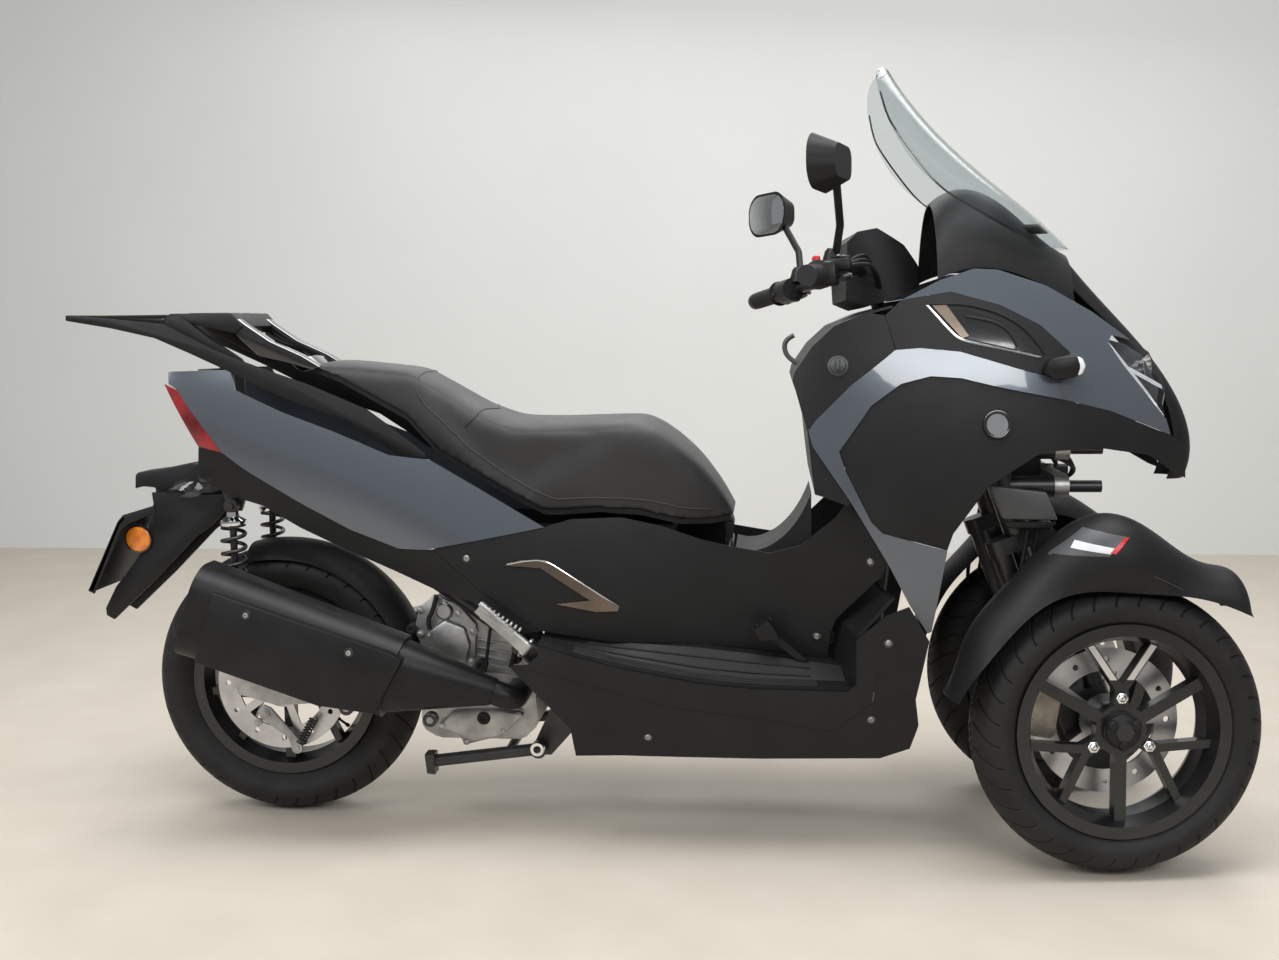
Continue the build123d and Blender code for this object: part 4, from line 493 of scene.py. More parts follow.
def makeWheelTrim(label, jointName, body, outward, capped):
    place = wheelPlace(jointName, outward)
    bm = bmesh.new()
    for turn in (90, 210, 330):
        spin = math.radians(turn)
        across, along = (wheelTrim["nutCircle"] * trig(spin) / 1000 for trig in (math.cos, math.sin))
        spot = Matrix.Translation((across, along, wheelTrim["face"] / 1000))
        lathe(
            bm, ((0, 9), (4.2, 9), (5.6, 8), (6.4, 6.5), (7.4, 5.6), (10, 5.2), (11, 4.4), (11, -1)), place @ spot,
            6,
        )
        lathe(bm, ((0, 10.5), (3, 10.4), (3.6, 9.4), (3.6, 8)), place @ spot, 16)
    finishPiece(label + "_wheelNuts", bm, chrome, body)
    if capped:
        bm = bmesh.new()
        top = wheelTrim["hub"]
        lathe(
            bm,
            (
                (0, top + 12), (12, top + 12), (17, top + 10.6), (19, top + 9.2), (27, top + 8.4), (31, top + 5),
                (32.4, top), (32.4, top - 5),
            ),
            place, 48,
        )
        for turn in (30, 150, 270):
            spin = math.radians(turn)
            spot = Matrix.Translation((0.0245 * math.cos(spin), 0.0245 * math.sin(spin), 0))
            lathe(
                bm, ((0, top + 12.5), (6, top + 12.4), (8.6, top + 11), (10, top + 7), (10, top - 2)), place @ spot,
                24,
            )
        finishPiece(label + "_hubCap", bm, moulded, body)
    bm = bmesh.new()  # the silver faces of the top pair of spokes only: part turned finish, part painted highlight, as only the top pair, where the light falls, is made silver
    bm.from_mesh(nodes[rimOf[label]].data)
    bmesh.ops.remove_doubles(bm, verts=bm.verts, dist=weldReach)
    bmesh.ops.transform(bm, matrix=place.inverted(), verts=bm.verts)
    # painted highlight: only the spoke faces inside this window above the hub get the silver
    low, high, half = wheelTrim["turned"]
    for normal, spot in (
        ((0, -1, 0), (0, low, 0)), ((1, 0, 0), (half, 0, 0)), ((-1, 0, 0), (-half, 0, 0)),
        ((0, 1, 0), (0, high, 0)),
    ):
        cutAway(bm, spot, normal)
    bm.normal_update()
    heights = {f: f.calc_center_median().z * 1000 for f in bm.faces}
    lost = [f for f in bm.faces if f.normal.z < 0.95 or abs(heights[f] - wheelTrim["face"]) > 1]
    bmesh.ops.delete(bm, geom=lost, context="FACES")
    bmesh.ops.inset_region(
        bm, faces=bm.faces[:], thickness=0.0022, depth=0, use_boundary=True, use_even_offset=True,
    )
    rim = [f for f in bm.faces if any(e.is_boundary for e in f.edges)]
    bmesh.ops.delete(bm, geom=rim, context="FACES")
    bmesh.ops.translate(bm, verts=bm.verts, vec=(0, 0, 0.0005))
    bmesh.ops.solidify(bm, geom=bm.faces[:], thickness=0.0006)
    bmesh.ops.transform(bm, matrix=place, verts=bm.verts)
    finishPiece(label + "_turnedFacesPaintedHighlight", bm, chrome, body)
    tilt = Matrix.Rotation(math.radians(-45), 4, "Z") @ Matrix.Rotation(math.radians(-70), 4, "Y")
    bm = bmesh.new()  # the valve
    lathe(
        bm, ((0, 0), (4, 0), (4, 6), (2.6, 8), (2.6, 24), (3.6, 24.5), (3.6, 31), (2, 33), (0, 33)),
        place @ Matrix.Translation((0.11, -0.11, -0.012)) @ tilt, 14,
    )
    finishPiece(label + "_valve", bm, moulded, body)


rimOf = {"rightWheel": "front_rim_right", "leftWheel": "front_rim_left", "backWheel": "rear_rim"}
makeWheelTrim("rightWheel", "front_wheel_right_spin", "front_wheel_right", -1, True)
makeWheelTrim("leftWheel", "front_wheel_left_spin", "front_wheel_left", 1, True)
makeWheelTrim("backWheel", "rear_wheel_spin", "rear_wheel", -1, False)
print("wheels trimmed")


seatBuild = {
    "voxel": 0.0065, "rounds": 24, "pressure": 4.0, "frames": 20, "cap": 0.007, "after": 30, "crown": 0.008,
    "welt": 1.9,
}


def settled(piece):
    shape = bpy.data.meshes.new_from_object(piece.evaluated_get(bpy.context.evaluated_depsgraph_get()))
    piece.modifiers.clear()
    piece.data = shape


def markFoot(piece):
    piece.vertex_groups.clear()
    foot = piece.vertex_groups.new(name="foot")
    free = piece.vertex_groups.new(name="free")
    held = {v.index for v in piece.data.vertices if v.normal.z < -0.3}  # the underside stays put
    foot.add(sorted(held), 1, "REPLACE")
    free.add([v.index for v in piece.data.vertices if v.index not in held], 1, "REPLACE")


def makeSeat(build):
    bm = bmesh.new()
    bm.from_mesh(nodes["seat_cushion"].data)
    bmesh.ops.remove_doubles(bm, verts=bm.verts, dist=weldReach)
    mesh = bpy.data.meshes.new("seatVinylCushion")
    bm.to_mesh(mesh)
    bm.free()
    seat = bpy.data.objects.new("seatVinylCushion", mesh)
    bpy.context.scene.collection.objects.link(seat)
    remesh = seat.modifiers.new("remesh", "REMESH")
    remesh.mode = "VOXEL"
    remesh.voxel_size = build["voxel"]
    settled(seat)
    for spot in seat.data.vertices:
        top = min(1, max(0, spot.normal.z / 0.8))
        spot.co.z -= build["crown"] * top * min(1, abs(spot.co.y) / 0.15) ** 2
    markFoot(seat)
    relax = seat.modifiers.new("relax", "SMOOTH")
    relax.iterations = build["rounds"]
    relax.factor = 0.5
    relax.vertex_group = "free"
    settled(seat)
    markFoot(seat)
    before = [v.co.copy() for v in seat.data.vertices]
    cloth = seat.modifiers.new("cloth", "CLOTH")
    cloth.settings.use_pressure = True
    cloth.settings.uniform_pressure_force = build["pressure"]
    cloth.settings.effector_weights.gravity = 0
    cloth.settings.vertex_group_mass = "foot"
    cloth.collision_settings.use_collision = False
    for step in range(1, build["frames"] + 1):
        bpy.context.scene.frame_set(step)
    settled(seat)
    for spot, old in zip(seat.data.vertices, before):
        moved = spot.co - old
        if moved.length > build["cap"]:
            spot.co = old + moved * (build["cap"] / moved.length)
    markFoot(seat)
    rest = seat.modifiers.new("rest", "SMOOTH")
    rest.iterations = build["after"]
    rest.factor = 0.5
    rest.vertex_group = "free"
    settled(seat)
    finer = seat.modifiers.new("finer", "SUBSURF")
    finer.levels = finer.render_levels = 1
    settled(seat)
    for face in seat.data.polygons:
        face.use_smooth = True
    seat.data.materials.clear()
    seat.data.materials.append(vinyl)
    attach(seat, "seat")
    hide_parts("seat_cushion")
    return seat


seat = makeSeat(seatBuild)
seatSkin = BVHTree.FromPolygons([v.co for v in seat.data.vertices], [p.vertices[:] for p in seat.data.polygons])


def seatSide(x, z, side):
    return seatSkin.ray_cast(at(x, side * 500, z), Vector((0, -side, 0)))[0]


def seatAbove(x, y):
    return seatSkin.ray_cast(at(x, y, 1300), Vector((0, 0, -1)))[0]


def sideRun(rows, side, count=5):
    spots = []
    for (x, z), (nextX, nextZ) in zip(rows, rows[1:]):
        spots += [seatSide(x + (nextX - x) * k / count, z + (nextZ - z) * k / count, side) for k in range(count)]
    return spots + [seatSide(*rows[-1], side)]


def seamPiece(name, spots, radius):
    bm = bmesh.new()
    points = [inMm(s) for s in spots if s is not None]
    hose(bm, points, radius, 2)
    finishPiece(name, bm, vinyl, "seat")


for name, rows, reach, bend in (
    ("hump", ((352, 812), (322, 838), (302, 866)), 84, 0.0),
    ("step", ((400, 800), (424, 822)), 104, 0.14),
):
    topX = rows[-1][0] - 8 + bend * reach + 14
    across = [seatAbove(topX - abs(y) * bend - abs(y) * 0.06, y) for y in range(-reach, reach + 1, 12)]
    seamPiece("seatSeam_" + name, sideRun(rows, -1) + across + sideRun(rows[::-1], 1), seatBuild["welt"])
lowerSeam = (
    (352, 812), (380, 786), (408, 760), (440, 738), (480, 712), (530, 684), (580, 664), (640, 668), (700, 668),
    (760, 662), (820, 645), (872, 640),
)
for side, label in ((-1, "right"), (1, "left")):
    seamPiece("seatWelt_" + label, sideRun(lowerSeam, side, 3), seatBuild["welt"])
print("seat and seams done")


shockBuild = {"x": -72, "y": 108, "low": 338, "high": 645}
for material, slotName, label in (
    (chassisBlack, "shock_steel", "dampers"), (chassisBlack, "shock_steel", "coils"),
    (chrome, "shock_steel", "caps"),
):
    bm = bmesh.new()
    for side in (-1, 1):
        place = Matrix.Translation(at(shockBuild["x"], side * shockBuild["y"], 0))
        across = Matrix.Rotation(math.radians(90), 4, "X")
        if label == "dampers":
            lathe(
                bm,
                (
                    (0, 350), (9, 350), (9, 386), (14, 390), (26, 392), (26.5, 399), (17, 402), (17, 470),
                    (15, 472), (7, 474), (7, 600), (24, 604), (25, 610), (14, 620), (10, 634), (0, 634),
                ),
                place, 32,
            )
            for z in (shockBuild["low"], shockBuild["high"]):
                lathe(
                    bm, ((7.4, -11), (13.5, -11), (14, -10), (14, 10), (13.5, 11), (7.4, 11), (7.4, -11)),
                    place @ Matrix.Translation((0, 0, z / 1000)) @ across, 28,
                )
        elif label == "coils":
            coil(bm, place, 22, 4.2, 405, 600, 7.5)
        else:
            lathe(
                bm,
                ((10, 606), (26, 607), (27, 610), (26.5, 616), (20, 620), (13, 624), (12, 633), (9, 633), (9, 606)),
                place, 32,
            )
            for z in (shockBuild["low"], shockBuild["high"]):
                outward = (across if side > 0 else across.inverted()) @ Matrix.Rotation(math.pi, 4, "X")
                eye = place @ Matrix.Translation((0, 0, z / 1000)) @ outward
                lathe(bm, ((0, -19), (5, -19), (9.5, -18.4), (9.5, -12), (0, -12)), eye, 6)
    piece = finishPiece("rearShock_" + label, bm, material, "vehicle")
    if label == "dampers":
        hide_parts("rear_shocks")
print("shocks done")


lampGrey = newMaterial("lampHousing", (0.10, 0.10, 0.105), 0.25, 0.6)
shine(mottle(lampGrey, (0.16, 0.16, 0.165), (0.06, 0.06, 0.063), 12), 30, 0.18, 0.32)
lampWhite = newMaterial("lampWhite", (0.80, 0.82, 0.84), 0.25, Coat_Weight=0.6)
mottle(lampWhite, (0.86, 0.88, 0.90), (0.70, 0.72, 0.75), 40)
glossBlack = newMaterial("glossBlack", (0.008, 0.008, 0.009), 0.12, Coat_Weight=1.0, Coat_Roughness=0.05)
mottle(glossBlack, (0.011, 0.011, 0.012), (0.006, 0.006, 0.007), 10)
darkGrey = newMaterial("darkGreyPlastic", (0.060, 0.063, 0.066), 0.42)
grain(shine(mottle(darkGrey, (0.068, 0.071, 0.075), (0.052, 0.055, 0.058), 9), 30, 0.36, 0.5), 1300, 0.0001)
decalRed = newMaterial("decalRed", (0.55, 0.015, 0.02), 0.35)
mottle(decalRed, (0.60, 0.018, 0.024), (0.48, 0.012, 0.018), 30)
decalWhite = newMaterial("decalWhite", (0.62, 0.64, 0.66), 0.35)
mottle(decalWhite, (0.68, 0.70, 0.72), (0.56, 0.58, 0.60), 30)
amber = newMaterial("amberReflector", (0.75, 0.20, 0.01), 0.22, Coat_Weight=1.0)
grain(mottle(amber, (0.85, 0.26, 0.015), (0.60, 0.13, 0.005), 60), 700, 0.0005, "cells")
mirrorGlass = newMaterial("mirrorGlass", (0.62, 0.64, 0.66), 0.06, 1.0)
shine(mirrorGlass, 10, 0.04, 0.09)

lampBuild = {
    "shell": (
        (1592, 952), (1601, 965), (1640, 955), (1676, 933), (1706, 867), (1705, 809), (1666, 855), (1620, 910),
    ),
    "edge": (
        (1592, 952), (1598, 958), (1630, 916), (1666, 868), (1700, 826), (1704, 812), (1666, 855), (1620, 910),
    ),
    "line": (
        (1613, 918), (1640, 906), (1690, 880), (1702, 873), (1703, 866), (1690, 872), (1640, 898), (1616, 911),
    ),
    "depth": 20,
}


def patches(name, rows, material, body="vehicle", sides=(-1, 1), lift=0.4, thick=0.8, facing=0.2):
    bm = bmesh.new()
    for nodeName, corners in rows:
        for side in sides:
            skinPatch(bm, nodeName, tuple(corners), side, lift, thick, facing)
    finishPiece(name, bm, material, body)


patches(
    "headlampHousing", [("headlamps", lampBuild["shell"])], lampGrey, lift=-lampBuild["depth"],
    thick=1.2, facing=0.02,
)
patches("headlampEdge", [("headlamps", lampBuild["edge"])], lampWhite, lift=-6, thick=1, facing=0.02)
patches("headlampLine", [("headlamps", lampBuild["line"])], lampWhite, lift=-7, thick=1, facing=0.02)
bm = bmesh.new()
for side in (-1, 1):
    for spot, radius in (((1672, side * 92, 902), 22), ((1682, side * 88, 848), 24)):
        place = aimed(at(*spot), (0.86, side * 0.5, 0.05))
        lathe(
            bm,
            (
                (radius * 0.42, -16), (radius * 0.7, -10), (radius, 2), (radius + 1.5, 2), (radius * 0.72, -12),
                (radius * 0.44, -18), (radius * 0.42, -16),
            ),
            place, 32,
        )
        lathe(bm, ((0, -6), (radius * 0.25, -7), (radius * 0.42, -11), (radius * 0.42, -17), (0, -17)), place, 24)
finishPiece("headlampBowls", bm, chrome, "vehicle")

bm = bmesh.new()
for side in (-1, 1):
    sidePlate(bm, ((1462, 902), (1474, 925), (1519, 932), (1527, 912), (1521, 893), (1480, 888)), side, 176, 238, 6)
finishPiece("frontIndicatorHousings", bm, satinBlack, "vehicle")
bm = bmesh.new()
for side in (-1, 1):
    sidePlate(bm, ((1519, 930), (1529, 926), (1535, 912), (1529, 898), (1520, 895)), side, 180, 236, 4)
finishPiece("frontIndicatorLenses", bm, lampWhite, "vehicle")

patches(
    "intakeMouth",
    [("side_intakes", ((1290, 1012), (1330, 1014), (1400, 990), (1462, 940), (1460, 932), (1330, 962)))],
    glossBlack, lift=0.5, thick=0.8,
)
patches(
    "intakeBronze", [("side_intakes", ((1270, 1021), (1296, 1021), (1334, 966), (1322, 962)))], bronze,
    lift=1.6, thick=1.2,
)


def skinLine(name, nodeName, spots, radius, material, body="vehicle", lift=0.0, sides=(-1, 1)):
    bm = bmesh.new()
    for side in sides:
        points = []
        for x, z in spots:
            spot, normal = onSkin(nodeName, x, z, side)
            spot = spot + normal * (lift / 1000)
            points.append(inMm(spot))
        hose(bm, points, radius, 2)
    finishPiece(name, bm, material, body)


skinLine(
    "intakeLip", "side_intakes",
    ((1262, 1022), (1276, 1006), (1298, 980), (1318, 960), (1360, 950), (1410, 940), (1462, 928)), 2.6, chrome,
)
skinLine(
    "intakeUpperLip", "side_intakes",
    ((1262, 1022), (1310, 1024), (1360, 1016), (1410, 996), (1450, 964), (1468, 934)), 2.4, moulded,
    lift=1,
)
skinLine(
    "intakeRib", "side_intakes", ((1330, 1000), (1370, 994), (1400, 980), (1414, 960), (1420, 946)), 3, moulded,
    lift=0.5,
)
skinLine(
    "fenderCrease_right", "front_fender_right", ((1472, 583), (1510, 590), (1567, 580), (1640, 556), (1700, 524)),
    1.3, glossBlack, "fork_right", sides=(-1,),
)

for label, side in (("right", -1), ("left", 1)):
    shift = 0 if side < 0 else -24
    drop = 0 if side < 0 else -4
    for name, corners, material, lift in (
        ("Ground", ((1472, 585), (1530, 632), (1604, 618), (1566, 587)), darkGrey, 0.5),
        ("Bar", ((1506, 598), (1514, 611), (1575, 601), (1568, 591)), decalWhite, 0.9),
        ("Slash", ((1568, 593), (1592, 617), (1602, 618), (1577, 591)), decalRed, 1.3),
    ):
        moved = [(x + shift, z + drop) for x, z in corners]
        patches(
            f"fenderDecal{name}_{label}", [("front_fender_" + label, moved)], material,
            "fork_" + label, sides=(side,), lift=lift, thick=0.4, facing=0.05,
        )


def knob(target, nodeName, x, z, profile, side=-1, steps=20):
    spot, normal = onSkin(nodeName, x, z, side)
    lathe(target, profile, aimed(spot, normal), steps)


badgeSpot = ("front_side_panels", 1381, 811)
bm = bmesh.new()
for side in (-1, 1):
    knob(bm, *badgeSpot, ((0, 3.2), (19, 3.2), (20, 2.4), (20, -2)), side, 48)
finishPiece("badgeDisc", bm, chrome, "vehicle")
bm = bmesh.new()
for side in (-1, 1):
    knob(bm, *badgeSpot, ((20, 1), (20, 4), (22, 5), (25, 4.4), (26, 2), (26, -2), (20, -2), (20, 1)), side, 48)
finishPiece("badgeRing", bm, glossBlack, "vehicle")

skinLine(
    "chevronEdge", "side_chevrons", ((492, 549), (530, 555), (566, 555), (600, 533), (650, 500), (697, 468)), 1.5,
    chrome,
)
nodes["nose_beak"].material_slots[0].material = moulded

screwRows = (
    ("side_covers", 414, 557, 5.5), ("side_covers", 1166, 560, 5), ("side_covers", 1072, 404, 5),
    ("lower_skirts", 1168, 272, 5), ("lower_skirts", 758, 228, 5), ("lower_skirts", 1196, 420, 5),
)
screwShape = ((0, 0.2), (2, 0.2), (2.2, 2.2), (4.2, 2.6), (5.2, 1.6), (5.4, -1))
bm = bmesh.new()
for nodeName, x, z, size in screwRows:
    for side in (-1, 1):
        knob(bm, nodeName, x, z, [(r * size / 5, h) for r, h in screwShape], side, 18)
finishPiece("panelScrews", bm, castAlloy, "vehicle")
bm = bmesh.new()
for nodeName, x, z, size in screwRows:
    for side in (-1, 1):
        knob(bm, nodeName, x, z, ((5.4, 1.2), (6.6, 1.6), (8.4, 1.0), (8.8, -1), (5.4, -1), (5.4, 1.2)), side, 24)
finishPiece("panelScrewCups", bm, glossBlack, "vehicle")

bm = bmesh.new()
keySpot = ("leg_shield", 1104, 916)
knob(bm, *keySpot, ((0, 10), (8, 10), (13, 8), (15, 3), (18, 2), (19, -3)), -1, 36)
spot, normal = onSkin(*keySpot, -1)
block(bm, (7, 24, 10), aimed(spot + normal * 0.012, normal), 2, 0.8)
hose(bm, ((1034, -20, 915), (1018, -20, 925), (1010, -20, 945), (1016, -20, 962), (1030, -20, 968)), 5)
finishPiece("keyKnobAndHook", bm, darkGrey, "vehicle")
print("front pieces done")


columnFoot = at(1185, 0, 1040)
columnAxis = Vector((-0.342, 0, 0.940))
columnTurn = Matrix.Rotation(math.radians(restSteer), 4, columnAxis)
steerTurn = Matrix.Translation(columnFoot) @ columnTurn @ Matrix.Translation(-columnFoot)
gripBuild = {
    "end": (1000, 350, 1055), "ahead": (40, -120, 10), "radius": 16.5, "length": 116, "ribs": 17,
    "cap": (
        (0, -1), (5, -1), (5.5, -3), (9, -3.2), (9.5, -1.4), (13, -1.6), (15.5, 1), (17.6, 4), (17.6, 8), (0, 8),
    ),
    "splay": 0.3,
    "splayedBoxes": (((52, 48, 42), (1046, 236, 1066), 7, 0.86), ((44, 30, 22), (1078, 212, 1084), 5, 0.9)),
    "straightBoxes": (((34, 14, 5), (1080, 214, 1097), 2, 0.9), ((12, 16, 10), (1022, 250, 1075), 2, 0.8)),
    "mirrorBoss": ((0, 26), (9, 26), (13, 20), (16, 6), (18, 0), (18, -6)), "bossAt": (1066, 198, 1088),
    "button": ((0, 5), (6, 5), (7, 3), (7, -4)), "buttonAt": (1020, 228, 1058),
    "screws": ((1086, 206, 1098), (1074, 222, 1098)), "leverPin": (1092, 226, 1064),
}


def gripPlace(side, build):
    x, y, z = build["end"]
    a, b, c = build["ahead"]
    return steerTurn @ aimed(at(x, side * y, z), (a, side * b, c))


def makeBar(build):
    rubberParts, blackParts, brightParts = bmesh.new(), bmesh.new(), bmesh.new()
    for side in (-1, 1):
        place = gripPlace(side, build)
        wave = [(build["radius"] - 2, 6)]
        for k in range(build["ribs"]):
            low = 8 + k * (build["length"] - 24) / build["ribs"]
            wave += [
                (build["radius"] + 1.4, low), (build["radius"] + 1.4, low + 3.2),
                (build["radius"] + 0.2, low + 3.9), (build["radius"] + 0.2, low + 5),
            ]
        wave += [
            (build["radius"] + 1, build["length"] - 12), (25, build["length"] - 10), (26, build["length"] - 7),
            (25, build["length"] - 4), (build["radius"] - 2, build["length"] - 4),
        ]
        lathe(rubberParts, wave, place, 40)
        lathe(rubberParts, build["cap"], place, 40)
        for size, (x, y, z), soften, pinch in build["splayedBoxes"]:
            splay = Matrix.Rotation(side * build["splay"], 4, "Z")
            block(blackParts, size, steerTurn @ Matrix.Translation(at(x, side * y, z)) @ splay, soften, pinch)
        x, y, z = build["bossAt"]
        lathe(blackParts, build["mirrorBoss"], steerTurn @ aimed(at(x, side * y, z), (0.05, side * 0.1, 1)), 24)
        for size, (x, y, z), soften, pinch in build["straightBoxes"]:
            block(blackParts, size, steerTurn @ Matrix.Translation(at(x, side * y, z)), soften, pinch)
        x, y, z = build["buttonAt"]
        lathe(blackParts, build["button"], steerTurn @ aimed(at(x, side * y, z), (-1, 0, 0.1)), 20)
        for x, y, z in build["screws"]:
            lathe(
                brightParts, ((0, 1.4), (2.2, 1.4), (3.4, 0.6), (3.4, -2)),
                steerTurn @ Matrix.Translation(at(x, side * y, z)) @ Matrix.Translation((0, 0, 0.002)), 12,
            )
        x, y, z = build["leverPin"]
        lathe(
            brightParts, ((0, 4), (4, 4), (6, 3), (6, -3), (4, -4), (0, -4)),
            steerTurn @ Matrix.Translation(at(x, side * y, z)), 16,
        )
    for parts, name, material, slotName in (
        (rubberParts, "gripSleeves", rubber, "matte_black"),
        (blackParts, "barSwitchgear", satinBlack, "matte_black"),
        (brightParts, "barBolts", castAlloy, "cast_alloy"),
    ):
        finishPiece(name, parts, material, "handlebar")


makeBar(gripBuild)
bm = bmesh.new()
block(
    bm, (12, 18, 9), steerTurn @ Matrix.Translation(at(1034, -226, 1094)) @ Matrix.Rotation(0.3, 4, "Z"), 2.5, 0.8,
)
finishPiece("stopSwitch", bm, decalRed, "handlebar")

bm = bmesh.new()
for side in (-1, 1):
    for lane, dip in ((0, 30), (14, 46), (26, 20)):
        points = [
            (1088, side * (214 - lane), 1080), (1130, side * (190 - lane), 1092 + lane),
            (1160, side * (140 - lane), 1086 - dip * 0.3), (1176, side * (96 - lane), 1060 - dip * 0.4),
            (1184, side * (60 - lane * 0.6), 1034),
        ]
        hose(bm, [inMm(steerTurn @ at(*p)) for p in points], 3.4)
finishPiece("barCables", bm, rubber, "handlebar")


mirrorBuild = {
    "centre": (1020, 345, 1240), "yaw": 28, "deep": 1.2,
    "glass": (
        (-63, 8), (-58, 24), (-45, 36), (-28, 41), (28, 41), (45, 36), (58, 24), (63, 8), (63, -8), (58, -24),
        (45, -36), (28, -41), (-28, -41), (-45, -36), (-58, -24), (-63, -8),
    ),
}


def makeMirrorGlass(build):
    bm = bmesh.new()
    for side in (-1, 1):
        x, y, z = build["centre"]
        yaw = math.radians(build["yaw"])
        back = Vector((-math.cos(yaw), -side * math.sin(yaw), 0))
        across = Vector((0, 0, 1)).cross(back)
        place = steerTurn @ Matrix.Translation(at(x, side * y, z)) @ axesOf(across, back, Vector((0, 0, 1)))
        corners = [(a * -side, b) for a, b in build["glass"]]
        plate(bm, corners, build["deep"] - 2, build["deep"], place, soften=0.6)
    finishPiece("mirrorGlasses", bm, mirrorGlass, "handlebar")


makeMirrorGlass(mirrorBuild)
print("handlebar pieces done")


mufflerBuild = {
    "shield": ((-51, 505), (284, 392), (306, 378), (250, 276), (142, 290), (-93, 370)),
    "face": 272, "bolts": ((13, 462), (207, 393)), "lugs": ((-1, 329), (177, 268), (340, 248)),
}


def makeMuffler(build):
    bm = bmesh.new()
    plate(bm, build["shield"], -build["face"] - 5, -build["face"] + 26, soften=4)
    lathe(
        bm, ((24, -8), (34, -6), (36, 0), (36, 30), (30, 36), (24, 36)),
        aimed(at(300, -203, 312), (0.86, 0.12, -0.26)), 40,
    )
    finishPiece("mufflerShield", bm, satinBlack, "vehicle")
    bm, washers = bmesh.new(), bmesh.new()
    for x, z in build["bolts"]:
        place = aimed(at(x, -build["face"] - 5, z), (0, -1, 0))
        lathe(washers, ((4.6, -1), (4.6, 1.4), (9, 1.2), (9.8, 0), (9.8, -2), (4.6, -2)), place, 28)
        lathe(bm, ((0, 1.2), (2.1, 1.2), (2.3, 3.8), (4.6, 3.8), (5, 3), (5, -2)), place, 20)
    for x, z in build["lugs"]:
        place = aimed(at(x, -210, z), (0, -1, 0))
        lathe(washers, ((0, -20), (11, -20), (14, -14), (14, 2), (11, 4), (8, 4.4), (8, 2), (0, 2)), place, 28)
        lathe(bm, ((0, 5), (4, 5), (7.4, 4.4), (7.8, 3), (7.8, 1), (0, 1)), place, 6)
    finishPiece("mufflerBolts", bm, castAlloy, "vehicle")
    finishPiece("mufflerLugs", washers, chassisBlack, "vehicle")


makeMuffler(mufflerBuild)

engineBuild = {
    "case": (
        (297, 441), (328, 470), (377, 452), (413, 412), (408, 350), (399, 323), (367, 330), (300, 372), (288, 400),
    ),
    "bulge": ((318, 400), (352, 424), (392, 408), (402, 372), (392, 336), (366, 340), (330, 364)),
    "sump": (
        (333, 206), (360, 236), (421, 240), (462, 240), (503, 233), (461, 191), (420, 180), (386, 171), (372, 190),
    ),
    "bolts": ((302, 440), (378, 434), (320, 388), (406, 398), (400, 338), (352, 452), (300, 392)),
    "sumpBolts": ((340, 210), (388, 178), (462, 200), (492, 232)),
    "ribs": 9, "ribRise": 16, "rib": ((412, 250), (500, 236), (500, 241), (412, 255)),
    "plugs": ((424, 226, 13), (421, 331, 12), (284, 403, 10), (491, 345, 9)),
    "hoses": (
        (4.6, ((336, -120, 470), (330, -124, 440), (318, -124, 424), (322, -122, 404))),
        (3.4, ((452, -114, 470), (446, -122, 430), (438, -124, 380), (430, -120, 320))),
        (5, ((470, -112, 440), (492, -126, 420), (498, -128, 380), (480, -120, 330))),
    ),
}


def makeEngine(build):
    bm = bmesh.new()
    plate(bm, build["case"], -112, -96, soften=3)
    plate(bm, build["bulge"], -126, -100, soften=8)
    plate(bm, build["sump"], -118, -60, soften=4)
    lathe(bm, ((0, 8), (13, 8), (16, 5), (18, 0), (18, -4)), aimed(at(350, -112, 438), (0, -1, 0.1)), 32)
    for x, z in build["bolts"]:
        lathe(bm, ((0, 6), (3.4, 6), (5.4, 5), (5.6, 1), (8, 0.6), (8, -3)), aimed(at(x, -112, z), (0, -1, 0)), 18)
    for x, z in build["sumpBolts"]:
        lathe(bm, ((0, 5), (3, 5), (5, 4), (5.2, 1), (7, 0.4), (7, -3)), aimed(at(x, -117, z), (0, -1, 0)), 18)
    for level in range(build["ribs"]):  # cooling ribs on the barrel
        plate(bm, [(x, z + level * build["ribRise"]) for x, z in build["rib"]], -106, -92, soften=0.8)
    finishPiece("engineCastings", bm, castAlloy, "vehicle")
    bm = bmesh.new()
    for x, z, radius in build["plugs"]:
        lathe(
            bm, ((0, 4), (radius * 0.4, 4), (radius * 0.5, 7), (radius * 0.8, 7), (radius, 4), (radius, -16)),
            aimed(at(x, -116, z), (0, -1, 0)), 28,
        )
    for radius, route in build["hoses"]:
        hose(bm, route, radius)
    finishPiece("enginePlugsAndHoses", bm, rubber, "vehicle")


makeEngine(engineBuild)

brakeBuild = {
    "lever": (
        (-48, 222), (-34, 236), (-20, 230), (34, 168), (44, 150), (34, 136), (22, 146), (14, 170), (-40, 206),
    ),
    "outer": -86, "inner": -80, "pivots": ((-32, 220, 9), (33, 148, 11), (-46, 200, 8)),
    "springFoot": (38, -88, 154), "springRun": (36, 0, 62), "springRadius": 8, "wire": 1.6,
    "ends": (4, 66), "turns": 9,
}


def makeParkingBrake(build):
    bm = bmesh.new()
    plate(bm, build["lever"], build["outer"], build["inner"], soften=1.2)
    for x, z, radius in build["pivots"]:
        lathe(
            bm, ((0, 6), (radius * 0.5, 6), (radius * 0.55, 4), (radius, 3), (radius, -3)),
            aimed(at(x, build["outer"], z), (0, -1, 0)), 24,
        )
    finishPiece("parkingBrakeLever", bm, castAlloy, "vehicle")
    bm = bmesh.new()
    place = aimed(at(*build["springFoot"]), build["springRun"])
    coil(bm, place, build["springRadius"], build["wire"], *build["ends"], build["turns"])
    finishPiece("parkingBrakeSpring", bm, chassisBlack, "vehicle")


makeParkingBrake(brakeBuild)

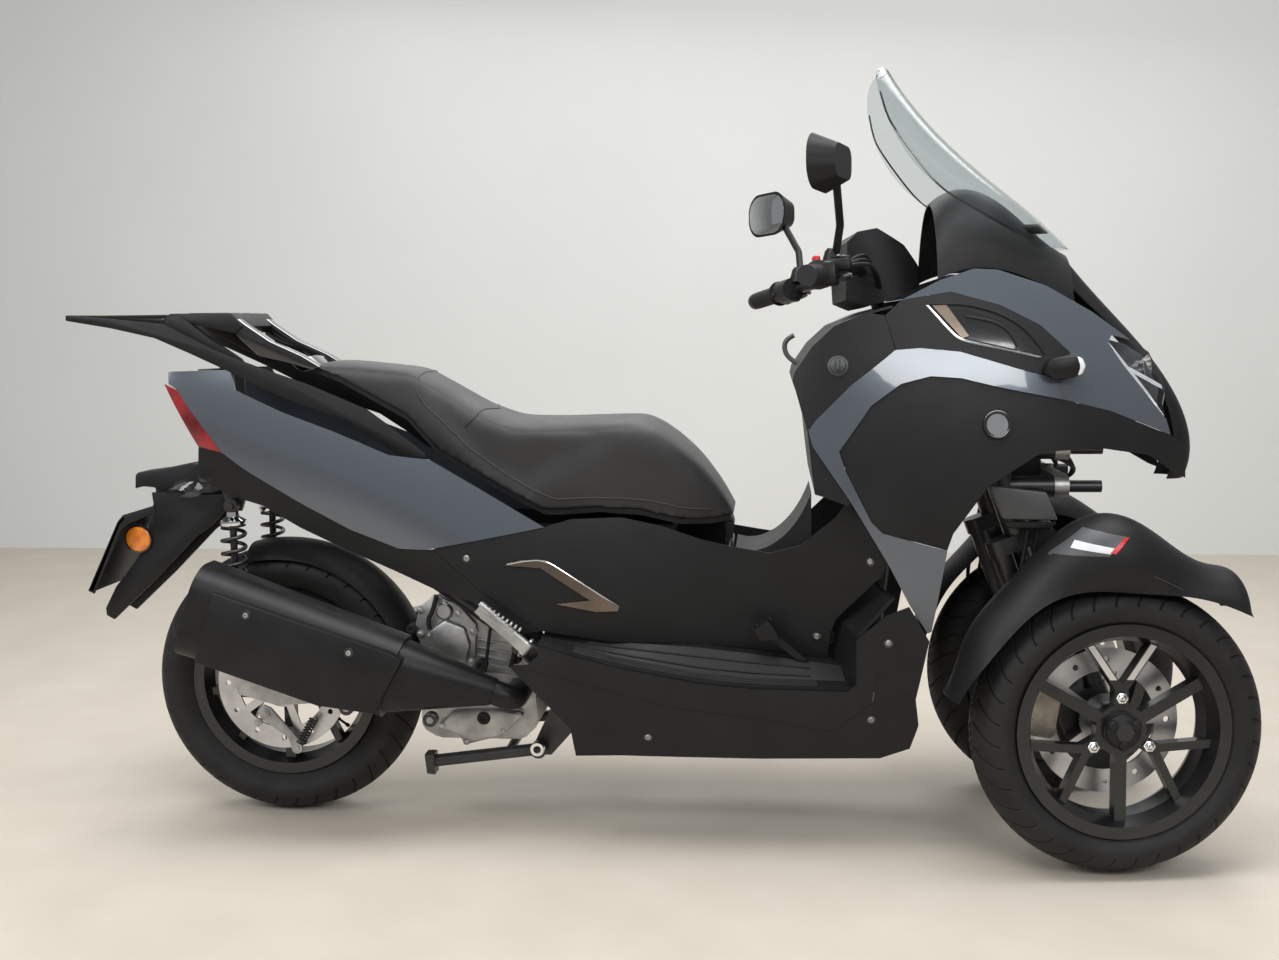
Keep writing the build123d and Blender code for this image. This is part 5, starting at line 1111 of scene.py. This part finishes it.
pegBuild = {
    "apart": 222, "front": (519, 428), "rear": (446, 476), "teeth": 10, "tooth": (5.4, 15, 7),
    "ribs": 3, "rib": (78, 3.2, 2.6), "ribShorter": 8, "ribDrop": 0.006, "ribStep": 0.007,
}


def pegTeeth(build, label, side):
    bm = bmesh.new()
    a, b = (at(x, side * build["apart"], z) for x, z in (build["front"], build["rear"]))
    along = (b - a).normalized()
    lift = Vector((-along.z, 0, along.x))
    if lift.z < 0:
        lift = -lift
    turn = axesOf(along, Vector((0, 1, 0)), lift)
    for k in range(build["teeth"]):
        spot = a + (b - a) * (k / (build["teeth"] - 1))
        block(bm, build["tooth"], Matrix.Translation(spot + lift * 0.001) @ turn, 0.9, 0.7)
    length, wide, tall = build["rib"]
    for k in range(build["ribs"]):
        drop = lift * (-build["ribDrop"] - build["ribStep"] * k)
        spot = (a + b) / 2 + drop + Vector((0, side * 0.008, 0))
        block(bm, (length - build["ribShorter"] * k, wide, tall), Matrix.Translation(spot) @ turn, 0.7)
    finishPiece("pegTeeth_" + label, bm, castAlloy, "peg_" + label)


pegPin = {"centre": (530, 222, 392), "run": (0.6633, 0.7483), "ends": (-17.3, 17.3)}
pegTeeth(pegBuild, "right", -1)
pegTeeth(pegBuild, "left", 1)
bm = bmesh.new()
for side in (-1, 1):
    x, y, z = pegPin["centre"]
    ahead, up = pegPin["run"]
    for end in pegPin["ends"]:  # outside the bracket's ears
        place = aimed(at(x + ahead * end, side * y, z + up * end), (ahead * end, 0, up * end))
        lathe(bm, ((0, 4), (3.2, 4), (4.8, 3.2), (5, 0), (6, -0.4), (6, -1.6), (0, -1.6)), place, 6)
lathe(
    bm, ((7, 2), (7.4, 5), (13, 5), (14, 3), (14, -6), (7, -6), (7, 2)), aimed(at(537, -160, 179), (0, -1, 0)), 30,
)
finishPiece("pivotNuts", bm, chrome, "vehicle")

holderBuild = {
    "wedge": (
        (-262, 664), (-110, 660), (-110, 628), (-139, 597), (-172, 575), (-263, 485), (-355, 401), (-371, 410),
        (-372, 425), (-347, 471), (-283, 543), (-256, 610),
    ),
    "strip": (
        (-318, 610), (-306, 623), (-241, 642), (-237, 628), (-296, 605), (-310, 594), (-375, 462), (-388, 468),
    ),
    "bracket": (
        (-305, 696), (-300, 702), (-251, 708), (-188, 721), (-156, 716), (-141, 650), (-192, 645), (-262, 640),
        (-264, 671), (-298, 674), (-307, 668),
    ),
    "disc": (-293, 569), "discRadius": 26,
}


def makeHolder(build):
    bm = bmesh.new()
    plate(bm, build["bracket"], -32, 32, soften=3)
    for side in (-1, 1):
        sidePlate(bm, build["wedge"], side, 46, 54, 2)
        sidePlate(bm, build["strip"], side, 88, 92, 1)
    back = ((-262, 640), (-250, 640), (-276, 540), (-340, 462), (-366, 410), (-372, 414), (-348, 470), (-286, 545))
    plate(bm, back, -50, 50, soften=2)
    hanger = ((-318, 608), (-306, 621), (-300, 616), (-312, 604), (-376, 466), (-386, 470))
    plate(bm, hanger, -92, 92, soften=1.5)
    plate(bm, ((-300, 618), (-296, 626), (-238, 642), (-238, 632)), -40, 40, soften=1.5)
    holder = finishPiece("plateHolderArms", bm, moulded, "vehicle")
    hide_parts("plate_holder")
    discs, rims = bmesh.new(), bmesh.new()
    x, z = build["disc"]
    r = build["discRadius"]
    for side in (-1, 1):
        place = aimed(at(x, side * 56, z), (0, side, 0))
        lathe(discs, ((0, 4.6), (r * 0.55, 4.4), (r * 0.9, 3.2), (r, 1), (r, -2)), place, 48)
        lathe(rims, ((r, -3), (r, 3), (r + 2.4, 2.4), (r + 3, -3), (r, -3)), place, 48)
        block(rims, (36, 22, 5), place @ Matrix.Translation((0.004, 0, -0.004)), 1.5)
    finishPiece("sideReflectors", discs, amber, "vehicle")
    finishPiece("sideReflectorRims", rims, glossBlack, "vehicle")


makeHolder(holderBuild)

rackBuild = {
    "rail": (
        (-389, 1021), (-300, 1013), (-188, 1001), (-141, 976), (-93, 952), (-35, 928), (13, 910), (92, 883),
        (160, 854), (207, 834), (249, 803), (321, 748),
        (326, 736), (273, 739), (221, 777), (169, 811), (69, 845), (11, 871), (-68, 911), (-142, 945), (-211, 975),
        (-300, 995), (-389, 1010),
    ),
    "deck": ((-207, 1004), (-186, 1022), (-61, 1022), (-38, 996), (-54, 982), (-112, 996), (-150, 1002)),
    "leg": ((-190, 1016), (-160, 1016), (-104, 972), (-42, 931), (-74, 930), (-146, 966), (-200, 992)),
    "chute": (
        (-64, 1021), (-38, 1000), (12, 966), (74, 938), (110, 916), (96, 910), (40, 926), (-8, 936), (-54, 978),
    ),
}


def makeRack(build):
    bm, shiny = bmesh.new(), bmesh.new()
    for side in (-1, 1):
        for corners, inner, outer, target in (
            ("rail", 107, 119, bm), ("leg", 88, 106, bm), ("chute", 60, 96, shiny),
        ):
            sidePlate(target, build[corners], side, inner, outer, 2.4)
        sidePlate(bm, ((-384, 1020), (-196, 1020), (-196, 1013), (-384, 1013)), side, 80, 90, 1.4)
    plate(bm, build["deck"], -100, 100, soften=3)
    plate(bm, ((-389, 1021), (-372, 1020), (-370, 1009), (-389, 1010)), -108, 108, soften=2.4)
    plate(bm, ((-372, 1020), (-352, 1020), (-352, 1014), (-372, 1014)), -84, 84, soften=1.4)
    plate(shiny, ((30, 930), (74, 936), (100, 914), (60, 906)), -62, 62, soften=3)
    rack = finishPiece("rackRails", bm, moulded, "vehicle")
    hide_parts("rear_rack")
    for y in (-52, 0, 52):  # inlays where the deck's straps pass
        block(shiny, (88, 13, 3), Matrix.Translation(at(-122, y, 1021.6)), 1.2, 0.96)
    finishPiece("rackGlossTrims", shiny, glossBlack, "vehicle")


makeRack(rackBuild)
print("rear pieces done")


coverBuild = {
    "upper": ((1375, 699), (1477, 687), (1498, 636), (1401, 638)),
    "lower": ((1400, 634), (1497, 632), (1484, 619), (1412, 621)),
    "right": (197, 214), "left": (206, 222), "leftShift": -26,
    "hoses": (
        (4, ((1452, 196, 350), (1418, 206, 430), (1436, 200, 540), (1450, 194, 626))),
        (3, ((1462, 190, 350), (1440, 198, 430), (1456, 194, 540), (1468, 190, 626))),
    ),
}


def makeForkCovers(build):
    for label, side in (("right", -1), ("left", 1)):
        shift = 0 if side < 0 else build["leftShift"]
        low, high = sorted(side * edge for edge in build[label])
        box, base = bmesh.new(), bmesh.new()
        plate(box, [(x + shift, z) for x, z in build["upper"]], low, high, soften=4)
        plate(base, [(x + shift, z) for x, z in build["lower"]], low + 3, high - 3, soften=3)
        for radius, route in build["hoses"]:
            hose(base, [(x + shift, side * y, z) for x, y, z in route], radius)
        finishPiece("forkCover_" + label, box, darkGrey, "fork_" + label)
        finishPiece("forkCoverBase_" + label, base, satinBlack, "fork_" + label)


makeForkCovers(coverBuild)

bm = bmesh.new()
for side in (-1, 1):
    for lane in range(3):
        route = (
            (1396 + 8 * lane, side * (96 - 10 * lane), 742 + 6 * lane),
            (1440, side * (150 - 8 * lane), 752 + 8 * lane), (1510, side * (140 - 8 * lane), 744 + 6 * lane),
            (1556, side * (96 - 8 * lane), 716 + 4 * lane), (1546, side * 60, 700),
        )
        hose(bm, route, 4.4 - 0.6 * lane)
finishPiece("noseHoses", bm, rubber, "vehicle")


def onTop(nodeName, x, y):
    if nodeName not in skins:
        skins[nodeName] = skinOf(nodeName)
    return skins[nodeName].ray_cast(at(x, y, 900), Vector((0, 0, -1)))[0]


strakeRows = ((178, 640, 1060), (190, 640, 1060), (206, 620, 1070), (218, 620, 1070), (230, 620, 1070))
bm = bmesh.new()
for y, first, last in strakeRows:
    for side in (-1, 1):
        points = []
        for step in range(10):
            spot = onTop("floorboards", first + (last - first) * step / 9, side * y)
            if spot is not None and spot.z < 0.46:
                points.append(inMm(spot))
        if len(points) > 3:
            hose(bm, points, 2.2, 2)
finishPiece("floorStrakes", bm, rubber, "vehicle")

skinLine(
    "windscreenEdge", "windscreen",
    (
        (1181, 1404), (1184, 1378), (1206, 1334), (1242, 1284), (1278, 1234), (1305, 1191), (1394, 1136),
        (1492, 1100),
    ),
    1.8, glossBlack,
)
nodes["brake_pedal"].material_slots[0].material = satinBlack
pedalTilt = Matrix.Rotation(math.radians(-30), 4, "Y")
bm = bmesh.new()
for step in range(4):
    block(bm, (3, 27, 4), Matrix.Translation(at(961 + step * 8, -160, 428 + step * 4)) @ pedalTilt, 0.9)
finishPiece("pedalRibs", bm, rubber, "vehicle")
print("details done")


studioBuild = {
    "half": 14, "wallY": 3.2, "worldColour": (0.82, 0.84, 0.86, 1), "worldStrength": 0.38,
    "lamps": (
        ("ceilingStrip", (0.3, -0.6, 3.4), (0, 0, 0.5), (4.5, 1.6), 130),
        ("frontStrip", (1.8, -3.6, 2.8), (0.2, 0, 0.6), (2.6, 0.9), 60),
        ("rearStrip", (-2.6, -2.6, 2.6), (-0.2, 0, 0.6), (2.4, 1.0), 55),
        ("farStrip", (0.2, 2.4, 3.0), (0, 0, 0.4), (4.0, 1.0), 50),
    ),
}


def openBack(material):  # the wall's far side is clear, so the left side can be seen past it
    tree = material.node_tree
    surface = next(n for n in tree.nodes if n.type == "OUTPUT_MATERIAL").inputs["Surface"]
    front = surface.links[0].from_socket
    facing = tree.nodes.new("ShaderNodeNewGeometry")
    clear = tree.nodes.new("ShaderNodeBsdfTransparent")
    mix = tree.nodes.new("ShaderNodeMixShader")
    tree.links.new(facing.outputs["Backfacing"], mix.inputs[0])
    tree.links.new(front, mix.inputs[1])
    tree.links.new(clear.outputs["BSDF"], mix.inputs[2])
    tree.links.new(mix.outputs[0], surface)


def stageSheet(name, material, place):
    bm = bmesh.new()
    bmesh.ops.create_grid(bm, x_segments=2, y_segments=2, size=studioBuild["half"])
    bmesh.ops.transform(bm, matrix=place, verts=bm.verts)
    mesh = bpy.data.meshes.new(name)
    bm.to_mesh(mesh)
    bm.free()
    mesh.materials.append(material)
    sheet = bpy.data.objects.new(name, mesh)
    bpy.context.scene.collection.objects.link(sheet)


def makeStudio(build):
    stone = newMaterial("studioStone", (0.60, 0.55, 0.48), 0.6)
    grain(mottle(stone, (0.60, 0.545, 0.470), (0.545, 0.49, 0.415), 5, 0.25, 0.75), 60, 0.0004)
    stageSheet("studioFloor", stone, Matrix.Identity(4))
    plaster = newMaterial("studioPlaster", (0.70, 0.71, 0.70), 0.8)
    grain(mottle(plaster, (0.70, 0.71, 0.70), (0.675, 0.685, 0.675), 2, 0.2, 0.8), 40, 0.0004)
    openBack(plaster)
    upright = Matrix.Rotation(math.radians(90), 4, "X")
    stageSheet("studioWall", plaster, Matrix.Translation((0, build["wallY"], 0)) @ upright)


def addLamp(name, place, aim, size, power):
    data = bpy.data.lights.new(name, "AREA")
    data.shape = "RECTANGLE"
    data.size, data.size_y = size
    data.energy = power
    lamp = bpy.data.objects.new(name, data)
    gaze = (Vector(aim) - Vector(place)).to_track_quat("-Z", "Y")
    lamp.matrix_world = Matrix.Translation(place) @ gaze.to_matrix().to_4x4()
    bpy.context.scene.collection.objects.link(lamp)


makeStudio(studioBuild)
for row in studioBuild["lamps"]:
    addLamp(*row)
world = bpy.data.worlds.new("studioWorld")
bpy.context.scene.world = world
world.use_nodes = True
sky = world.node_tree.nodes["Background"].inputs
sky["Color"].default_value = studioBuild["worldColour"]
sky["Strength"].default_value = studioBuild["worldStrength"]
print("studio ready")
